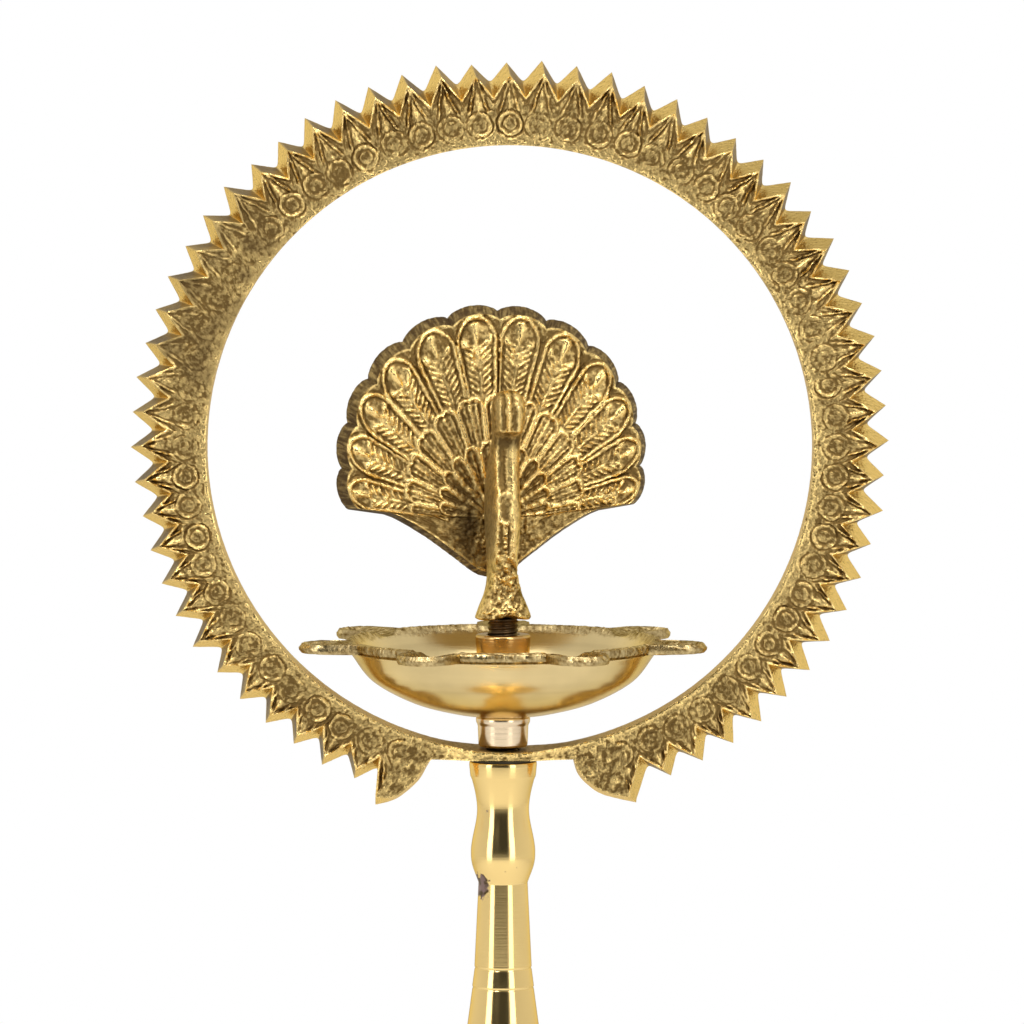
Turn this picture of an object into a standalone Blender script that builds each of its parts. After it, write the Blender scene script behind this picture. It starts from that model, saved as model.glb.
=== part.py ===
"""Brass standing oil lamp: a hollow foot, a turned stem in sections, a toothed halo ring,
a seven-wick oil pan and a peacock finial, screwed together on threaded rods.

Metres, +Z up. The origin is on the floor at the centre of the foot, and -Y is the front.
"""
import math

import bmesh
import bpy
from mathutils import Matrix, Vector

# Fits
GAP = 0.0003                    # between faces that touch on the real lamp
ROD_RADIUS = 0.0042             # threaded rods, thread crests
ROD_HOLE = ROD_RADIUS + GAP     # tapped and plain holes for them
ROD_BITE = 0.018                # how far a rod is screwed into a stem section
FOOT_ROD_BITE = 0.016           # and the foot's rod into the lower stem
THREADED_LENGTH = 0.020         # tapped at each end of a long section
BORE_RELIEF = 0.0006            # the bore between the threads is this much wider
ROUND_STEPS = 24                # facets round a turned piece

# Foot
FOOT_RADIUS = 0.075
FOOT_TOP = 0.054
FOOT_ROOF = 0.0035
FOOT_STEPS = 32
WASHER_RADIUS = 0.0105
WASHER_THICKNESS = 0.0016
NUT_ACROSS_FLATS = 0.0130
NUT_HEIGHT = 0.0065
ROD_BELOW_NUT = 0.004

# Stem sections, all on the lamp's axis
NECK_TOP = 0.066
LOWER_STEM_TOP = 0.148
KNOP_TOP = 0.167
STEM_TOP = 0.2691

# Halo ring
RING_SEAT = 0.2699              # flat underside of the lug
RING_OFFSET = 0.0018            # the lug is drilled this far off the ring's centre
HOLE_CENTRE_Z = 0.3535
HOLE_RADIUS_FRONT = 0.0814
HOLE_RADIUS_BACK = 0.0810
TEETH_CENTRE_Z = HOLE_CENTRE_Z + 0.0023
TIP_RADIUS_FRONT = 0.0986
TIP_RADIUS_BACK = 0.1014
VALLEY_RADIUS_FRONT = 0.0920
VALLEY_RADIUS_BACK = 0.0960
TOOTH_COUNT = 61
LAST_TOOTH = math.radians(160.4)
TOOTH_TWIST = math.radians(0.5)  # the back outline is turned this much against the front
RING_DEPTH = 0.008
LUG_DEPTH = 0.016
LUG_HALF_WIDTH = 0.0185
LUG_SWELL = 0.019               # the band starts to widen into the lug at this distance
# lower edge of the lobe beside the lug: distance from the ring's middle, height
LOBE_EDGE = [(0.0321, 0.2610), (0.0276, 0.2645), (0.0228, 0.2675), (0.0193, RING_SEAT)]
LUG_SHARES = (0.8, 0.6, 0.4, 0.2)  # sections along half of the flat lug
SEAT_CLEARANCE = 0.00015        # above and below the washer under the lug
SEAT_WASHER_RADIUS = 0.0088

# Oil pan
COLLAR_BOTTOM = 0.2731
PAN_BOTTOM = 0.2816
PAN_FLOOR = 0.2842              # inside, at the axis
PAN_RIM_TOP = 0.3020
PAN_RIM_RADIUS = 0.0423
SPOUT_COUNT = 7
SPOUT_REACH = 0.0558
SPOUT_HALF_WIDTH = 0.0072
SPOUT_BACK = math.pi / 2        # one spout points straight back
# directions of the sections from a spout's middle, closest on its round end and flanks
SPOUT_ANGLES = [math.radians(degrees) for degrees in (0, 4.4, 7.4, 9.0, 9.8, 17.5)]
SOCKET_FLOOR = PAN_FLOOR + 0.0004
SOCKET_TOP = 0.3033
PAN_ROD_TOP = 0.2885
FINIAL_ROD_LOW = 0.2892

# Peacock finial
FINIAL_TURN = math.radians(12)  # rest position of the bird about the axis
BIRD_FOOT = 0.3078
BIRD_STEPS = 12                 # facets round each of the bird's sections
FAN_CENTRE_Z = 0.3482
FAN_RADIUS = 0.0428             # of the circle that the feather tips touch
FEATHER_ROOT = 0.0147           # the feathers spread from this far below the circle's centre
FAN_SPREAD = math.radians(84.6) # half angle of the feathers at their root
FAN_FEATHERS = 12
FAN_DRAFT = 0.0022
FAN_FRONT_Y = 0.0112
FAN_THICKNESS = 0.0045
FAN_DISHING = 0.0010            # the middle of the front lies this much behind its edge
FAN_POINT = -0.0309             # lowest point, from the circle's centre
SCALLOP_RISE = 0.0020
SCALLOP_POWER = 0.6             # below 1, so the scallops meet in sharp nicks
SCALLOP_STEPS = 4               # spans of the outline per feather

# name: (base colour, roughness, metallic)
FINISHES = {
    "polished_brass": ((0.80, 0.60, 0.24), 0.12, 1.0),
    "cast_brass": ((0.58, 0.43, 0.16), 0.42, 1.0),
    "turned_brass": ((0.66, 0.46, 0.16), 0.25, 1.0),
    "dark_iron": ((0.10, 0.07, 0.05), 0.60, 0.8),
    "zinc_steel": ((0.55, 0.55, 0.56), 0.35, 1.0),
    "black_rubber": ((0.02, 0.02, 0.02), 0.70, 0.0),
}


def clear_scene():
    """Start from an empty scene."""
    for item in list(bpy.data.objects):
        bpy.data.objects.remove(item, do_unlink=True)


def finish_material(name):
    """Principled material of one of the lamp's finishes."""
    material = bpy.data.materials.get(name)
    if material is None:
        colour, roughness, metallic = FINISHES[name]
        material = bpy.data.materials.new(name)
        material.use_nodes = True
        shader = material.node_tree.nodes["Principled BSDF"]
        shader.inputs["Base Color"].default_value = (*colour, 1.0)
        shader.inputs["Roughness"].default_value = roughness
        shader.inputs["Metallic"].default_value = metallic
    return material


def add_object(name, bm, finish, parent=None):
    """Turn a bmesh into a smooth-shaded object with its faces pointing out."""
    bmesh.ops.recalc_face_normals(bm, faces=bm.faces)
    mesh = bpy.data.meshes.new(name)
    bm.to_mesh(mesh)
    bm.free()
    mesh.set_sharp_from_angle(angle=math.radians(35))
    mesh.materials.append(finish_material(finish))
    item = bpy.data.objects.new(name, mesh)
    bpy.context.scene.collection.objects.link(item)
    item.parent = parent
    return item


def joint_empty(name):
    """Empty on the lamp's axis that a moving group of pieces hangs from."""
    empty = bpy.data.objects.new(name, None)
    bpy.context.scene.collection.objects.link(empty)
    return empty


def curve_through(points, steps=3):
    """Catmull-Rom curve through 2-D points, with `steps` spans between each pair."""
    padded = [points[0], *points, points[-1]]
    curve = []
    for a, b, c, d in zip(padded, padded[1:], padded[2:], padded[3:]):
        for step in range(steps):
            t = step / steps
            curve.append(tuple(
                0.5 * (2 * q + (r - p) * t + (2 * p - 5 * q + 4 * r - s) * t * t
                       + (3 * q - p - 3 * r + s) * t ** 3)
                for p, q, r, s in zip(a, b, c, d)))
    return [*curve, points[-1]]


def turned(name, outline, finish, steps=ROUND_STEPS, parent=None):
    """Spin an outline of (radius, height) points about the axis.

    An outline that starts and ends on the axis makes a plain solid; any other one is closed
    and makes a solid with a bore.
    """
    bm = bmesh.new()
    verts = [bm.verts.new((radius, 0.0, height)) for radius, height in outline]
    edges = [bm.edges.new(pair) for pair in zip(verts, verts[1:])]
    if outline[0][0] > 0:
        edges.append(bm.edges.new((verts[-1], verts[0])))
    bmesh.ops.spin(bm, geom=verts + edges, cent=(0, 0, 0), axis=(0, 0, 1),
                   angle=math.tau, steps=steps, use_merge=True)
    bmesh.ops.remove_doubles(bm, verts=bm.verts, dist=1e-6)
    return add_object(name, bm, finish, parent)


def rod(name, low, high, parent=None):
    """Threaded rod with chamfered ends, its thread left off."""
    chamfer = 0.0008
    outline = [(0, high), (ROD_RADIUS - chamfer, high), (ROD_RADIUS, high - chamfer),
               (ROD_RADIUS, low + chamfer), (ROD_RADIUS - chamfer, low), (0, low)]
    return turned(name, outline, "dark_iron", parent=parent)


# --- Foot and stem -------------------------------------------------------------------------

def foot():
    """Hollow cast foot: stepped dome over a broad flat rim."""
    rim = FOOT_RADIUS
    outside = [(ROD_HOLE, FOOT_TOP), (0.0150, FOOT_TOP)]
    outside += curve_through([(0.0158, 0.0505), (0.0180, 0.0455), (0.0245, 0.0375),
                              (0.0340, 0.0320), (0.0440, 0.0300)], 2)
    outside += [(0.0465, 0.0292), (0.0478, 0.0272), (0.0466, 0.0252)]
    outside += curve_through([(0.0500, 0.0240), (0.0585, 0.0205), (0.0650, 0.0150),
                              (0.0685, 0.0095)], 2)
    outside += [(rim - 0.0035, 0.0085), (rim, 0.0070), (rim, 0.0)]
    inside = [(rim - 0.0055, 0.0), (rim - 0.0065, 0.0040)]
    inside += curve_through([(0.0640, 0.0090), (0.0605, 0.0140), (0.0555, 0.0175),
                             (0.0440, 0.0225)], 2)
    inside += [(0.0330, 0.0282), (0.0225, 0.0335), (0.0150, 0.0420),
               (0.0125, FOOT_TOP - FOOT_ROOF), (ROD_HOLE, FOOT_TOP - FOOT_ROOF)]
    turned("foot", outside + inside, "polished_brass", FOOT_STEPS)


def foot_fixing():
    """Rod through the foot's roof, with its washer and hexagon nut underneath."""
    washer_top = FOOT_TOP - FOOT_ROOF - GAP
    washer_low = washer_top - WASHER_THICKNESS
    turned("foot_washer", [(ROD_HOLE, washer_top), (WASHER_RADIUS, washer_top),
                           (WASHER_RADIUS, washer_low), (ROD_HOLE, washer_low)],
           "zinc_steel")
    nut_low = hexagon_nut("foot_nut", washer_low - GAP)
    rod("foot_rod", nut_low - ROD_BELOW_NUT, NECK_TOP + FOOT_ROD_BITE)


def hexagon_nut(name, high):
    """Nut whose round blank is drawn in to six flats; returns the height of its underside."""
    low = high - NUT_HEIGHT
    blank = NUT_ACROSS_FLATS
    nut = turned(name, [(ROD_HOLE, high), (blank, high), (blank, low), (ROD_HOLE, low)],
                 "zinc_steel")
    sixth = math.tau / 6
    for vert in nut.data.vertices:
        x, y, z = vert.co
        if math.hypot(x, y) > ROD_HOLE + GAP:
            turn = math.atan2(y, x)
            reach = NUT_ACROSS_FLATS / 2 / math.cos(turn % sixth - sixth / 2)
            vert.co = (reach * math.cos(turn), reach * math.sin(turn), z)
    return low


def stem_neck():
    """Turned collar between the foot and the lower stem."""
    low = FOOT_TOP + GAP
    outline = [(ROD_HOLE, NECK_TOP), (0.0105, NECK_TOP), (0.0108, NECK_TOP - 0.0015)]
    outline += curve_through([(0.0120, NECK_TOP - 0.0030), (0.0165, NECK_TOP - 0.0050),
                              (0.0172, NECK_TOP - 0.0066), (0.0160, NECK_TOP - 0.0084)], 2)
    outline += [(0.0135, low + 0.0022), (0.0140, low), (ROD_HOLE, low)]
    turned("stem_neck", outline, "polished_brass")


def lower_stem():
    """Turned baluster, bored at both ends for the rods."""
    low = NECK_TOP + GAP
    top = LOWER_STEM_TOP
    outline = [(ROD_HOLE, top), (0.0100, top), (0.0105, top - 0.0025)]
    outline += curve_through([(0.0122, top - 0.0040), (0.0122, top - 0.0065),
                              (0.0090, top - 0.0085), (0.0080, top - 0.0130),
                              (0.0086, top - 0.0230), (0.0112, top - 0.0350),
                              (0.0146, top - 0.0480), (0.0142, top - 0.0570),
                              (0.0100, top - 0.0660)], 2)
    outline += [(0.0128, top - 0.0680), (0.0136, top - 0.0700), (0.0128, top - 0.0722),
                (0.0106, top - 0.0740), (0.0118, low), (ROD_HOLE, low)]
    outline += relieved_bore(low, top)
    turned("lower_stem", outline, "polished_brass")


def relieved_bore(low, top):
    """Points up the inside of a stem section: bored through, a little wider between the
    threads."""
    wide = ROD_HOLE + BORE_RELIEF
    cone = 0.001
    return [(ROD_HOLE, low + THREADED_LENGTH), (wide, low + THREADED_LENGTH + cone),
            (wide, top - THREADED_LENGTH - cone), (ROD_HOLE, top - THREADED_LENGTH)]


def stem_knop():
    """Turned bead between the lower and the upper stem."""
    low = LOWER_STEM_TOP + GAP
    top = KNOP_TOP
    outline = [(ROD_HOLE, top), (0.0112, top), (0.0112, top - 0.0020)]
    outline += curve_through([(0.0125, top - 0.0035), (0.0160, top - 0.0062),
                              (0.0172, top - 0.0093), (0.0160, top - 0.0124),
                              (0.0125, top - 0.0150)], 2)
    outline += [(0.0112, low + 0.0020), (0.0112, low), (ROD_HOLE, low)]
    turned("stem_knop", outline, "polished_brass")


def upper_stem(parent):
    """Tall turned section: cone with two fine grooves, waist, bulb and top collar."""
    low = KNOP_TOP + GAP
    top = STEM_TOP
    outline = [(ROD_HOLE, top), (0.0090, top), (0.0091, top - 0.0008),
               (0.0088, 0.2652), (0.0086, 0.2648)]
    outline += curve_through([(0.0083, 0.2640), (0.0075, 0.2607), (0.0070, 0.2570),
                              (0.0072, 0.2535), (0.0083, 0.2480), (0.00865, 0.2446),
                              (0.0083, 0.2412), (0.0068, 0.2370)], 2)
    outline += [(0.0066, 0.2364), (0.0077, 0.2138), (0.0075, 0.2134), (0.0077, 0.2130),
                (0.0083, 0.2085), (0.0081, 0.2081), (0.0083, 0.2077), (0.0096, 0.1980),
                (0.0122, 0.1810), (0.0114, 0.1795)]
    outline += curve_through([(0.0120, 0.1785), (0.0150, 0.1768), (0.0156, 0.1745),
                              (0.0146, 0.1722)], 2)
    outline += [(0.0116, low + 0.0030), (0.0120, low), (ROD_HOLE, low)]
    outline += relieved_bore(low, top)
    turned("upper_stem", outline, "polished_brass", parent=parent)


# --- Halo ring -----------------------------------------------------------------------------

def on_ring(radius, angle, centre_z):
    """Point (x, z) at an angle from the top, clockwise seen from the front."""
    return (RING_OFFSET + radius * math.sin(angle), centre_z + radius * math.cos(angle))


def lug_half_depth(x):
    """Half depth of the band, swelling smoothly into the lug near the axis."""
    nearness = max(0.0, 1.0 - abs(x) / LUG_SWELL)
    eased = nearness * nearness * (3 - 2 * nearness)
    full_at = 1 / 1.6           # share of the swell at which the lug reaches its full depth
    return RING_DEPTH / 2 + (LUG_DEPTH - RING_DEPTH) / 2 * min(1.0, eased / full_at)


def ring_section(angle, front_edge, back_edge):
    """Four corners of the band at one angle: front inner, front outer, back outer, back inner."""
    inner_front = on_ring(HOLE_RADIUS_FRONT, angle, HOLE_CENTRE_Z)
    inner_back = on_ring(HOLE_RADIUS_BACK, angle, HOLE_CENTRE_Z)
    depth = RING_DEPTH / 2
    if abs(angle) > LAST_TOOTH:
        depth = lug_half_depth(inner_front[0])
    corners = [(inner_front, -depth), (front_edge, -depth), (back_edge, depth),
               (inner_back, depth)]
    return [Vector((x, y, z)) for (x, z), y in corners]


def tooth_sections():
    """Sections at every tooth tip and valley, from the last tooth on the left to the right."""
    sections = []
    flanks = 2 * (TOOTH_COUNT - 1)
    for index in range(flanks + 1):
        angle = LAST_TOOTH * (2 * index / flanks - 1)
        front, back = TIP_RADIUS_FRONT, TIP_RADIUS_BACK
        if index % 2:
            front, back = VALLEY_RADIUS_FRONT, VALLEY_RADIUS_BACK
        sections.append(ring_section(
            angle, on_ring(front, angle, TEETH_CENTRE_Z),
            on_ring(back, angle - TOOTH_TWIST, TEETH_CENTRE_Z)))
    return sections


def lug_sections():
    """Sections from the right end tooth, round its lobe, along the flat lug and back up."""
    lug_end = math.pi - math.asin(LUG_HALF_WIDTH / HOLE_RADIUS_BACK)
    right = []
    for index, (reach, height) in enumerate(LOBE_EDGE, start=1):
        angle = LAST_TOOTH + (lug_end - LAST_TOOTH) * index / len(LOBE_EDGE)
        right.append((angle, (RING_OFFSET + reach, height)))
    for share in LUG_SHARES:
        angle = math.pi - math.asin(share * LUG_HALF_WIDTH / HOLE_RADIUS_BACK)
        right.append((angle, (RING_OFFSET + share * LUG_HALF_WIDTH, RING_SEAT)))
    middle = [(math.pi, (RING_OFFSET, RING_SEAT))]
    left = [(-angle, (2 * RING_OFFSET - x, z)) for angle, (x, z) in reversed(right)]
    return [ring_section(angle, edge, edge) for angle, edge in right + middle + left]


def halo_ring(parent):
    """Toothed ring with a drilled lug at the bottom, open in the middle."""
    bm = bmesh.new()
    loops = [[bm.verts.new(point) for point in section]
             for section in tooth_sections() + lug_sections()]
    for here, there in zip(loops, loops[1:] + loops[:1]):
        for corner in range(4):
            after = (corner + 1) % 4
            bm.faces.new((here[corner], there[corner], there[after], here[after]))
    ring = add_object("halo_ring", bm, "cast_brass", parent)
    above, below = RING_SEAT + 0.0061, RING_SEAT - 0.0039
    cutter = turned("lug_drill", [(0, above), (ROD_HOLE, above), (ROD_HOLE, below), (0, below)],
                    "cast_brass")
    cutter.hide_render = True
    cutter.display_type = "WIRE"
    drill = ring.modifiers.new("lug_hole", "BOOLEAN")
    drill.operation = "DIFFERENCE"
    drill.object = cutter


def seat_washer(parent):
    """Thin washer between the stem and the ring's lug."""
    low = STEM_TOP + SEAT_CLEARANCE
    high = RING_SEAT - SEAT_CLEARANCE
    turned("seat_washer", [(ROD_HOLE, high), (SEAT_WASHER_RADIUS, high),
                           (SEAT_WASHER_RADIUS, low), (ROD_HOLE, low)],
           "black_rubber", parent=parent)


# --- Oil pan -------------------------------------------------------------------------------

def pan_edge(angle):
    """Distance of the pan's edge from the axis: round rim with seven blunt spouts."""
    pitch = math.tau / SPOUT_COUNT
    off = abs((angle - SPOUT_BACK + pitch / 2) % pitch - pitch / 2)
    round_centre = SPOUT_REACH - SPOUT_HALF_WIDTH
    if off < math.asin(SPOUT_HALF_WIDTH / round_centre):
        across = round_centre * math.sin(off)
        reach = round_centre * math.cos(off) + math.sqrt(SPOUT_HALF_WIDTH ** 2 - across ** 2)
    else:
        reach = SPOUT_HALF_WIDTH / math.sin(off)
    return max(reach, PAN_RIM_RADIUS)


def pan_angles():
    """Directions round the pan, closer together on the spouts."""
    pitch = math.tau / SPOUT_COUNT
    offsets = [-angle for angle in reversed(SPOUT_ANGLES[1:])] + SPOUT_ANGLES + [pitch / 2]
    return [SPOUT_BACK + spout * pitch + off for spout in range(SPOUT_COUNT)
            for off in offsets]


def oil_pan(parent):
    """Round-bottomed bowl whose rim runs out into seven wick spouts."""
    inside = [(ROD_HOLE, PAN_FLOOR), (0.0150, 0.2849), (0.0270, 0.2891), (0.0350, 0.2946),
              (0.0393, 0.3004)]
    outside = [(0.0405, 0.2978), (0.0350, 0.2909), (0.0245, 0.2852),
               (0.0135, 0.2822), (0.0080, PAN_BOTTOM), (ROD_HOLE, PAN_BOTTOM)]
    bm = bmesh.new()
    loops = []
    for angle in pan_angles():
        edge = pan_edge(angle)
        section = [*inside, (0.0405, PAN_RIM_TOP), (edge - 0.0008, PAN_RIM_TOP),
                   (edge, PAN_RIM_TOP - 0.0010), (edge - 0.0006, 0.2992), *outside]
        loops.append([bm.verts.new((radius * math.cos(angle), radius * math.sin(angle), z))
                      for radius, z in section])
    for here, there in zip(loops, loops[1:] + loops[:1]):
        for index, (a, b) in enumerate(zip(here, there)):
            after = (index + 1) % len(here)
            bm.faces.new((a, b, there[after], here[after]))
    add_object("oil_pan", bm, "turned_brass", parent)


def pan_fittings(parent):
    """Collar under the pan and tapped socket inside it."""
    low = COLLAR_BOTTOM
    high = PAN_BOTTOM - GAP
    turned("pan_collar", [(ROD_HOLE, high), (0.0070, high), (0.0073, high - 0.0006),
                          (0.0072, high - 0.0016), (0.0068, high - 0.0024),
                          (0.0066, low + 0.0006), (0.0062, low), (ROD_HOLE, low)],
           "turned_brass", parent=parent)
    turned("pan_socket", [(ROD_HOLE, SOCKET_TOP), (0.0070, SOCKET_TOP),
                          (0.0074, SOCKET_TOP - 0.0005), (0.0068, 0.2935),
                          (0.0066, SOCKET_FLOOR), (ROD_HOLE, SOCKET_FLOOR)],
           "turned_brass", parent=parent)


# --- Peacock finial ------------------------------------------------------------------------

def peacock(parent):
    """Bird standing upright with its chest to the front, lofted from oval sections."""
    # height, reach to the front, reach to the back, half width
    sections = [(BIRD_FOOT, 0.0074, 0.0074, 0.0074), (0.3105, 0.0068, 0.0068, 0.0066),
                (0.3150, 0.0056, 0.0056, 0.0050), (0.3200, 0.0063, 0.0090, 0.0044),
                (0.3235, 0.0076, 0.0109, 0.0046), (0.3290, 0.0092, 0.0112, 0.0050),
                (0.3360, 0.0102, 0.0116, 0.0052), (0.3430, 0.0098, 0.0114, 0.0050),
                (0.3490, 0.0092, 0.0060, 0.0042), (0.3560, 0.0100, 0.0010, 0.0040),
                (0.3610, 0.0118, -0.0002, 0.0046), (0.3650, 0.0122, -0.0010, 0.0044),
                (0.3680, 0.0098, -0.0034, 0.0024)]
    turns = [math.tau * step / BIRD_STEPS for step in range(BIRD_STEPS)]
    loops = []
    for height, front, back, half_width in sections:
        middle = (back - front) / 2
        half_depth = (back + front) / 2
        loops.append([(half_width * math.cos(turn), middle + half_depth * math.sin(turn), height)
                      for turn in turns])
    finial_loft("peacock", loops, parent)


def finial_loft(name, loops, parent):
    """Skin over closed loops of points, with both ends filled, at the finial's rest turn."""
    bm = bmesh.new()
    rings = [[bm.verts.new(point) for point in loop] for loop in loops]
    count = len(rings[0])
    for here, there in zip(rings, rings[1:]):
        for index in range(count):
            after = (index + 1) % count
            bm.faces.new((here[index], here[after], there[after], there[index]))
    bm.faces.new(rings[0])
    bm.faces.new(rings[-1])
    bmesh.ops.transform(bm, matrix=Matrix.Rotation(FINIAL_TURN, 4, "Z"), verts=bm.verts)
    add_object(name, bm, "cast_brass", parent)


def feather_reach(turn):
    """Distance from the feathers' root to the scalloped edge, in a direction from the top."""
    reach = math.sqrt(FAN_RADIUS ** 2 - (FEATHER_ROOT * math.sin(turn)) ** 2)
    reach += FEATHER_ROOT * math.cos(turn)
    share = (turn + FAN_SPREAD) / (2 * FAN_SPREAD) * FAN_FEATHERS
    return reach - SCALLOP_RISE * (1 - abs(math.sin(math.pi * share)) ** SCALLOP_POWER)


def fan_outline():
    """Fan edge as (x, z) about its centre: scalloped arc, then hollow sides to a point."""
    outline = []
    count = FAN_FEATHERS * SCALLOP_STEPS
    for index in range(count + 1):
        turn = FAN_SPREAD * (2 * index / count - 1)
        reach = feather_reach(turn)
        outline.append((reach * math.sin(turn), reach * math.cos(turn) - FEATHER_ROOT))
    point = (0.0, FAN_POINT)
    side = curve_through([outline[-1], (0.0290, -0.0136), (0.0195, -0.0188),
                          (0.0105, -0.0253), point], 2)[1:-1]
    return [*outline, *side, point, *((-x, z) for x, z in reversed(side))]


def tail_fan(parent):
    """Slightly dished plate with a smaller front than back."""
    outline = fan_outline()
    layers = [(0.35, FAN_FRONT_Y + FAN_DISHING), (1 - FAN_DRAFT / FAN_RADIUS, FAN_FRONT_Y),
              (1.0, FAN_FRONT_Y + FAN_THICKNESS)]
    finial_loft("tail_fan", [[(scale * x, y, FAN_CENTRE_Z + scale * z) for x, z in outline]
                             for scale, y in layers], parent)


# --- The lamp ------------------------------------------------------------------------------

def build_lamp():
    """Make every piece, hung from an empty for each group that moves on its own."""
    clear_scene()
    foot()
    foot_fixing()
    stem_neck()
    lower_stem()
    stem_knop()
    stem_axis = joint_empty("stem_turn")
    rod("stem_rod", LOWER_STEM_TOP - ROD_BITE, KNOP_TOP + ROD_BITE, stem_axis)
    upper_stem(stem_axis)
    seat_washer(stem_axis)
    ring_axis = joint_empty("ring_swivel")
    halo_ring(ring_axis)
    pan_axis = joint_empty("pan_turn")
    rod("pan_rod", STEM_TOP - ROD_BITE, PAN_ROD_TOP, pan_axis)
    oil_pan(pan_axis)
    pan_fittings(pan_axis)
    finial_axis = joint_empty("finial_turn")
    rod("finial_rod", FINIAL_ROD_LOW, BIRD_FOOT - GAP, finial_axis)
    peacock(finial_axis)
    tail_fan(finial_axis)


build_lamp()
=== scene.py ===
"""Brass standing oil lamp: a polished turned stem, a cast toothed ring round a peacock with its
tail spread, and an oil pan with seven wick spouts. Metres, +Z up, -Y is the front."""

import math

import bmesh
import bpy
import numpy as np
from bpy.props import FloatProperty, FloatVectorProperty, IntProperty, PointerProperty
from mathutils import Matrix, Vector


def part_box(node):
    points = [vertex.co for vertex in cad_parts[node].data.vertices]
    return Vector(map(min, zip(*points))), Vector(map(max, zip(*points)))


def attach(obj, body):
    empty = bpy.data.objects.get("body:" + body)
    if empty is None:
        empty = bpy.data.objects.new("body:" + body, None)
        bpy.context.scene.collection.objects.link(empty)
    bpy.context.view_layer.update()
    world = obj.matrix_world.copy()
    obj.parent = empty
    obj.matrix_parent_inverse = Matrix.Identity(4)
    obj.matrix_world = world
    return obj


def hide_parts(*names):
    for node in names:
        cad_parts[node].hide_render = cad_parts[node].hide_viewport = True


bl_info = {
    "name": "Brass Oil Lamp",
    "version": (1, 0, 0),
    "blender": (4, 5, 0),
    "location": "View3D > Sidebar > Oil Lamp",
    "description": "Builds the finished surfaces of a standing brass oil lamp",
    "category": "Add Mesh",
}

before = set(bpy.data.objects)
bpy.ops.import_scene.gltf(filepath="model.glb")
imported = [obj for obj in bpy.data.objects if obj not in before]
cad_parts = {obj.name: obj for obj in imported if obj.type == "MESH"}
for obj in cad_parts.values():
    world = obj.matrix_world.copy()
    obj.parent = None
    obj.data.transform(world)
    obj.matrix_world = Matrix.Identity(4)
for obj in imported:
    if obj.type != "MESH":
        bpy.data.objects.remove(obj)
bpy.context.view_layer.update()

MM = 0.001
WELD_DISTANCE = 2e-7
THREAD_PITCH = 1.25 * MM
ROWS_PER_THREAD, ROD_STEPS = 8, 32
NUT_STEPS, NUT_BORE_ROWS = 96, 36
BORE = 4.5  # radius of the holes for the rods, in mm
ROD_HOLE = BORE * MM

# Ring, measured from the CAD node and the lamp's axis
RING_OFFSET = 1.8 * MM
HOLE_CENTRE_Z = 0.3535
TEETH_CENTRE_Z = 0.3558
HOLE_FRONT, HOLE_BACK = 81.4 * MM, 81.0 * MM
TIP_FRONT, TIP_BACK = 98.6 * MM, 101.4 * MM
VALLEY_FRONT, VALLEY_BACK = 92.0 * MM, 96.0 * MM
TOOTH_SPANS = 60
LAST_TOOTH = math.radians(160.4)
TOOTH_PITCH = 2 * LAST_TOOTH / TOOTH_SPANS
END_TOOTH_LONGER, END_TOOTH_SLIP = 3.3 * MM, -2.0 * MM  # the two teeth beside the lug
VALLEY_ROUNDING = 0.022
BACK_TWIST = math.radians(0.5)
BAND_HALF_DEPTH, LUG_DEEPER, LUG_REACH = 4 * MM, 4 * MM, 19 * MM
COLUMNS_PER_TOOTH, FRONT_ROWS = 28, 40
LOBE_STEPS, LUG_STEPS = 14, 66
LOBE_ANGLES = (160.4, 161.6, 163.2, 165.0, 166.8)
# x and z in mm down the front and back edge of each lobe, after the tip of its end tooth
RIGHT_LOBE = (((27.3, 261.2), (23.3, 263.7), (20.6, 266.4), (18.9, 269.95)),
              ((27.0, 259.6), (22.6, 262.4), (19.9, 265.6), (18.6, 269.9)))
LEFT_LOBE = (((-28.9, 260.1), (-23.6, 264.4), (-20.9, 268.2), (-19.2, 269.95)),
             ((-28.6, 258.6), (-23.0, 263.2), (-20.4, 267.4), (-18.9, 269.9)))
LUG_ARC, LUG_HALF_TOP, LUG_HALF_BASE, LUG_MIDDLE, LUG_BASE_Z = 81.0, 18.6, 18.75, 0.1, 269.9  # mm
LEAF_MIDDLE, LEAF_TIP = 95 * MM, 100.0 * MM  # distances from the centre of the hole
LEAF_START, LEAF_FULL = 89.8 * MM, 91.4 * MM
BOSS_DISTANCE = 87.2 * MM
LUG_DRILLED = (0.265, 0.277)  # heights that the hole in the lug is cut between
PLAIN_BORDER = 84.5 * MM
WORN_START, WORN_END = np.radians((-88, -76)), np.radians((-52, -40))

# Finial
FINIAL_TURN = math.radians(12)
FAN_CENTRE_Z = 0.3482
FAN_RADIUS = 42.8 * MM
FEATHER_ROOT = 14.7 * MM
FAN_SPREAD = math.radians(86.0)
FEATHER_LEAN = math.radians(1.8)
FEATHERS = 12
FAN_FRONT_Y = 11.2 * MM
FAN_THICKNESS = 4.5 * MM
FAN_DRAFT = 2.2 * MM
SCALLOP, SCALLOP_POWER = 2.0 * MM, 0.6
FILED_ALONG = np.array([1, 0.15, 1])  # draws the file marks out from front to back
# x and z in mm from the circle's centre, down from the tail's corner to its point
FAN_SIDE = ((36.0, -13.0), (29.0, -13.6), (19.5, -18.8), (10.5, -25.3), (4.4, -29.8), (0.0, -30.9))
COLUMNS_PER_FEATHER, LOWER_COLUMNS, FAN_ROWS = 34, 122, 158
EYE_SHARE, DASH_SHARE = 0.80, 0.845  # shares of the reach from the feathers' root
SECOND_ROW_TOP, THIRD_ROW_TOP = 0.620, 0.385

# Stem
STEM_CHIP = (-6.6 * MM, -3.8 * MM, 0.2356)

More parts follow.
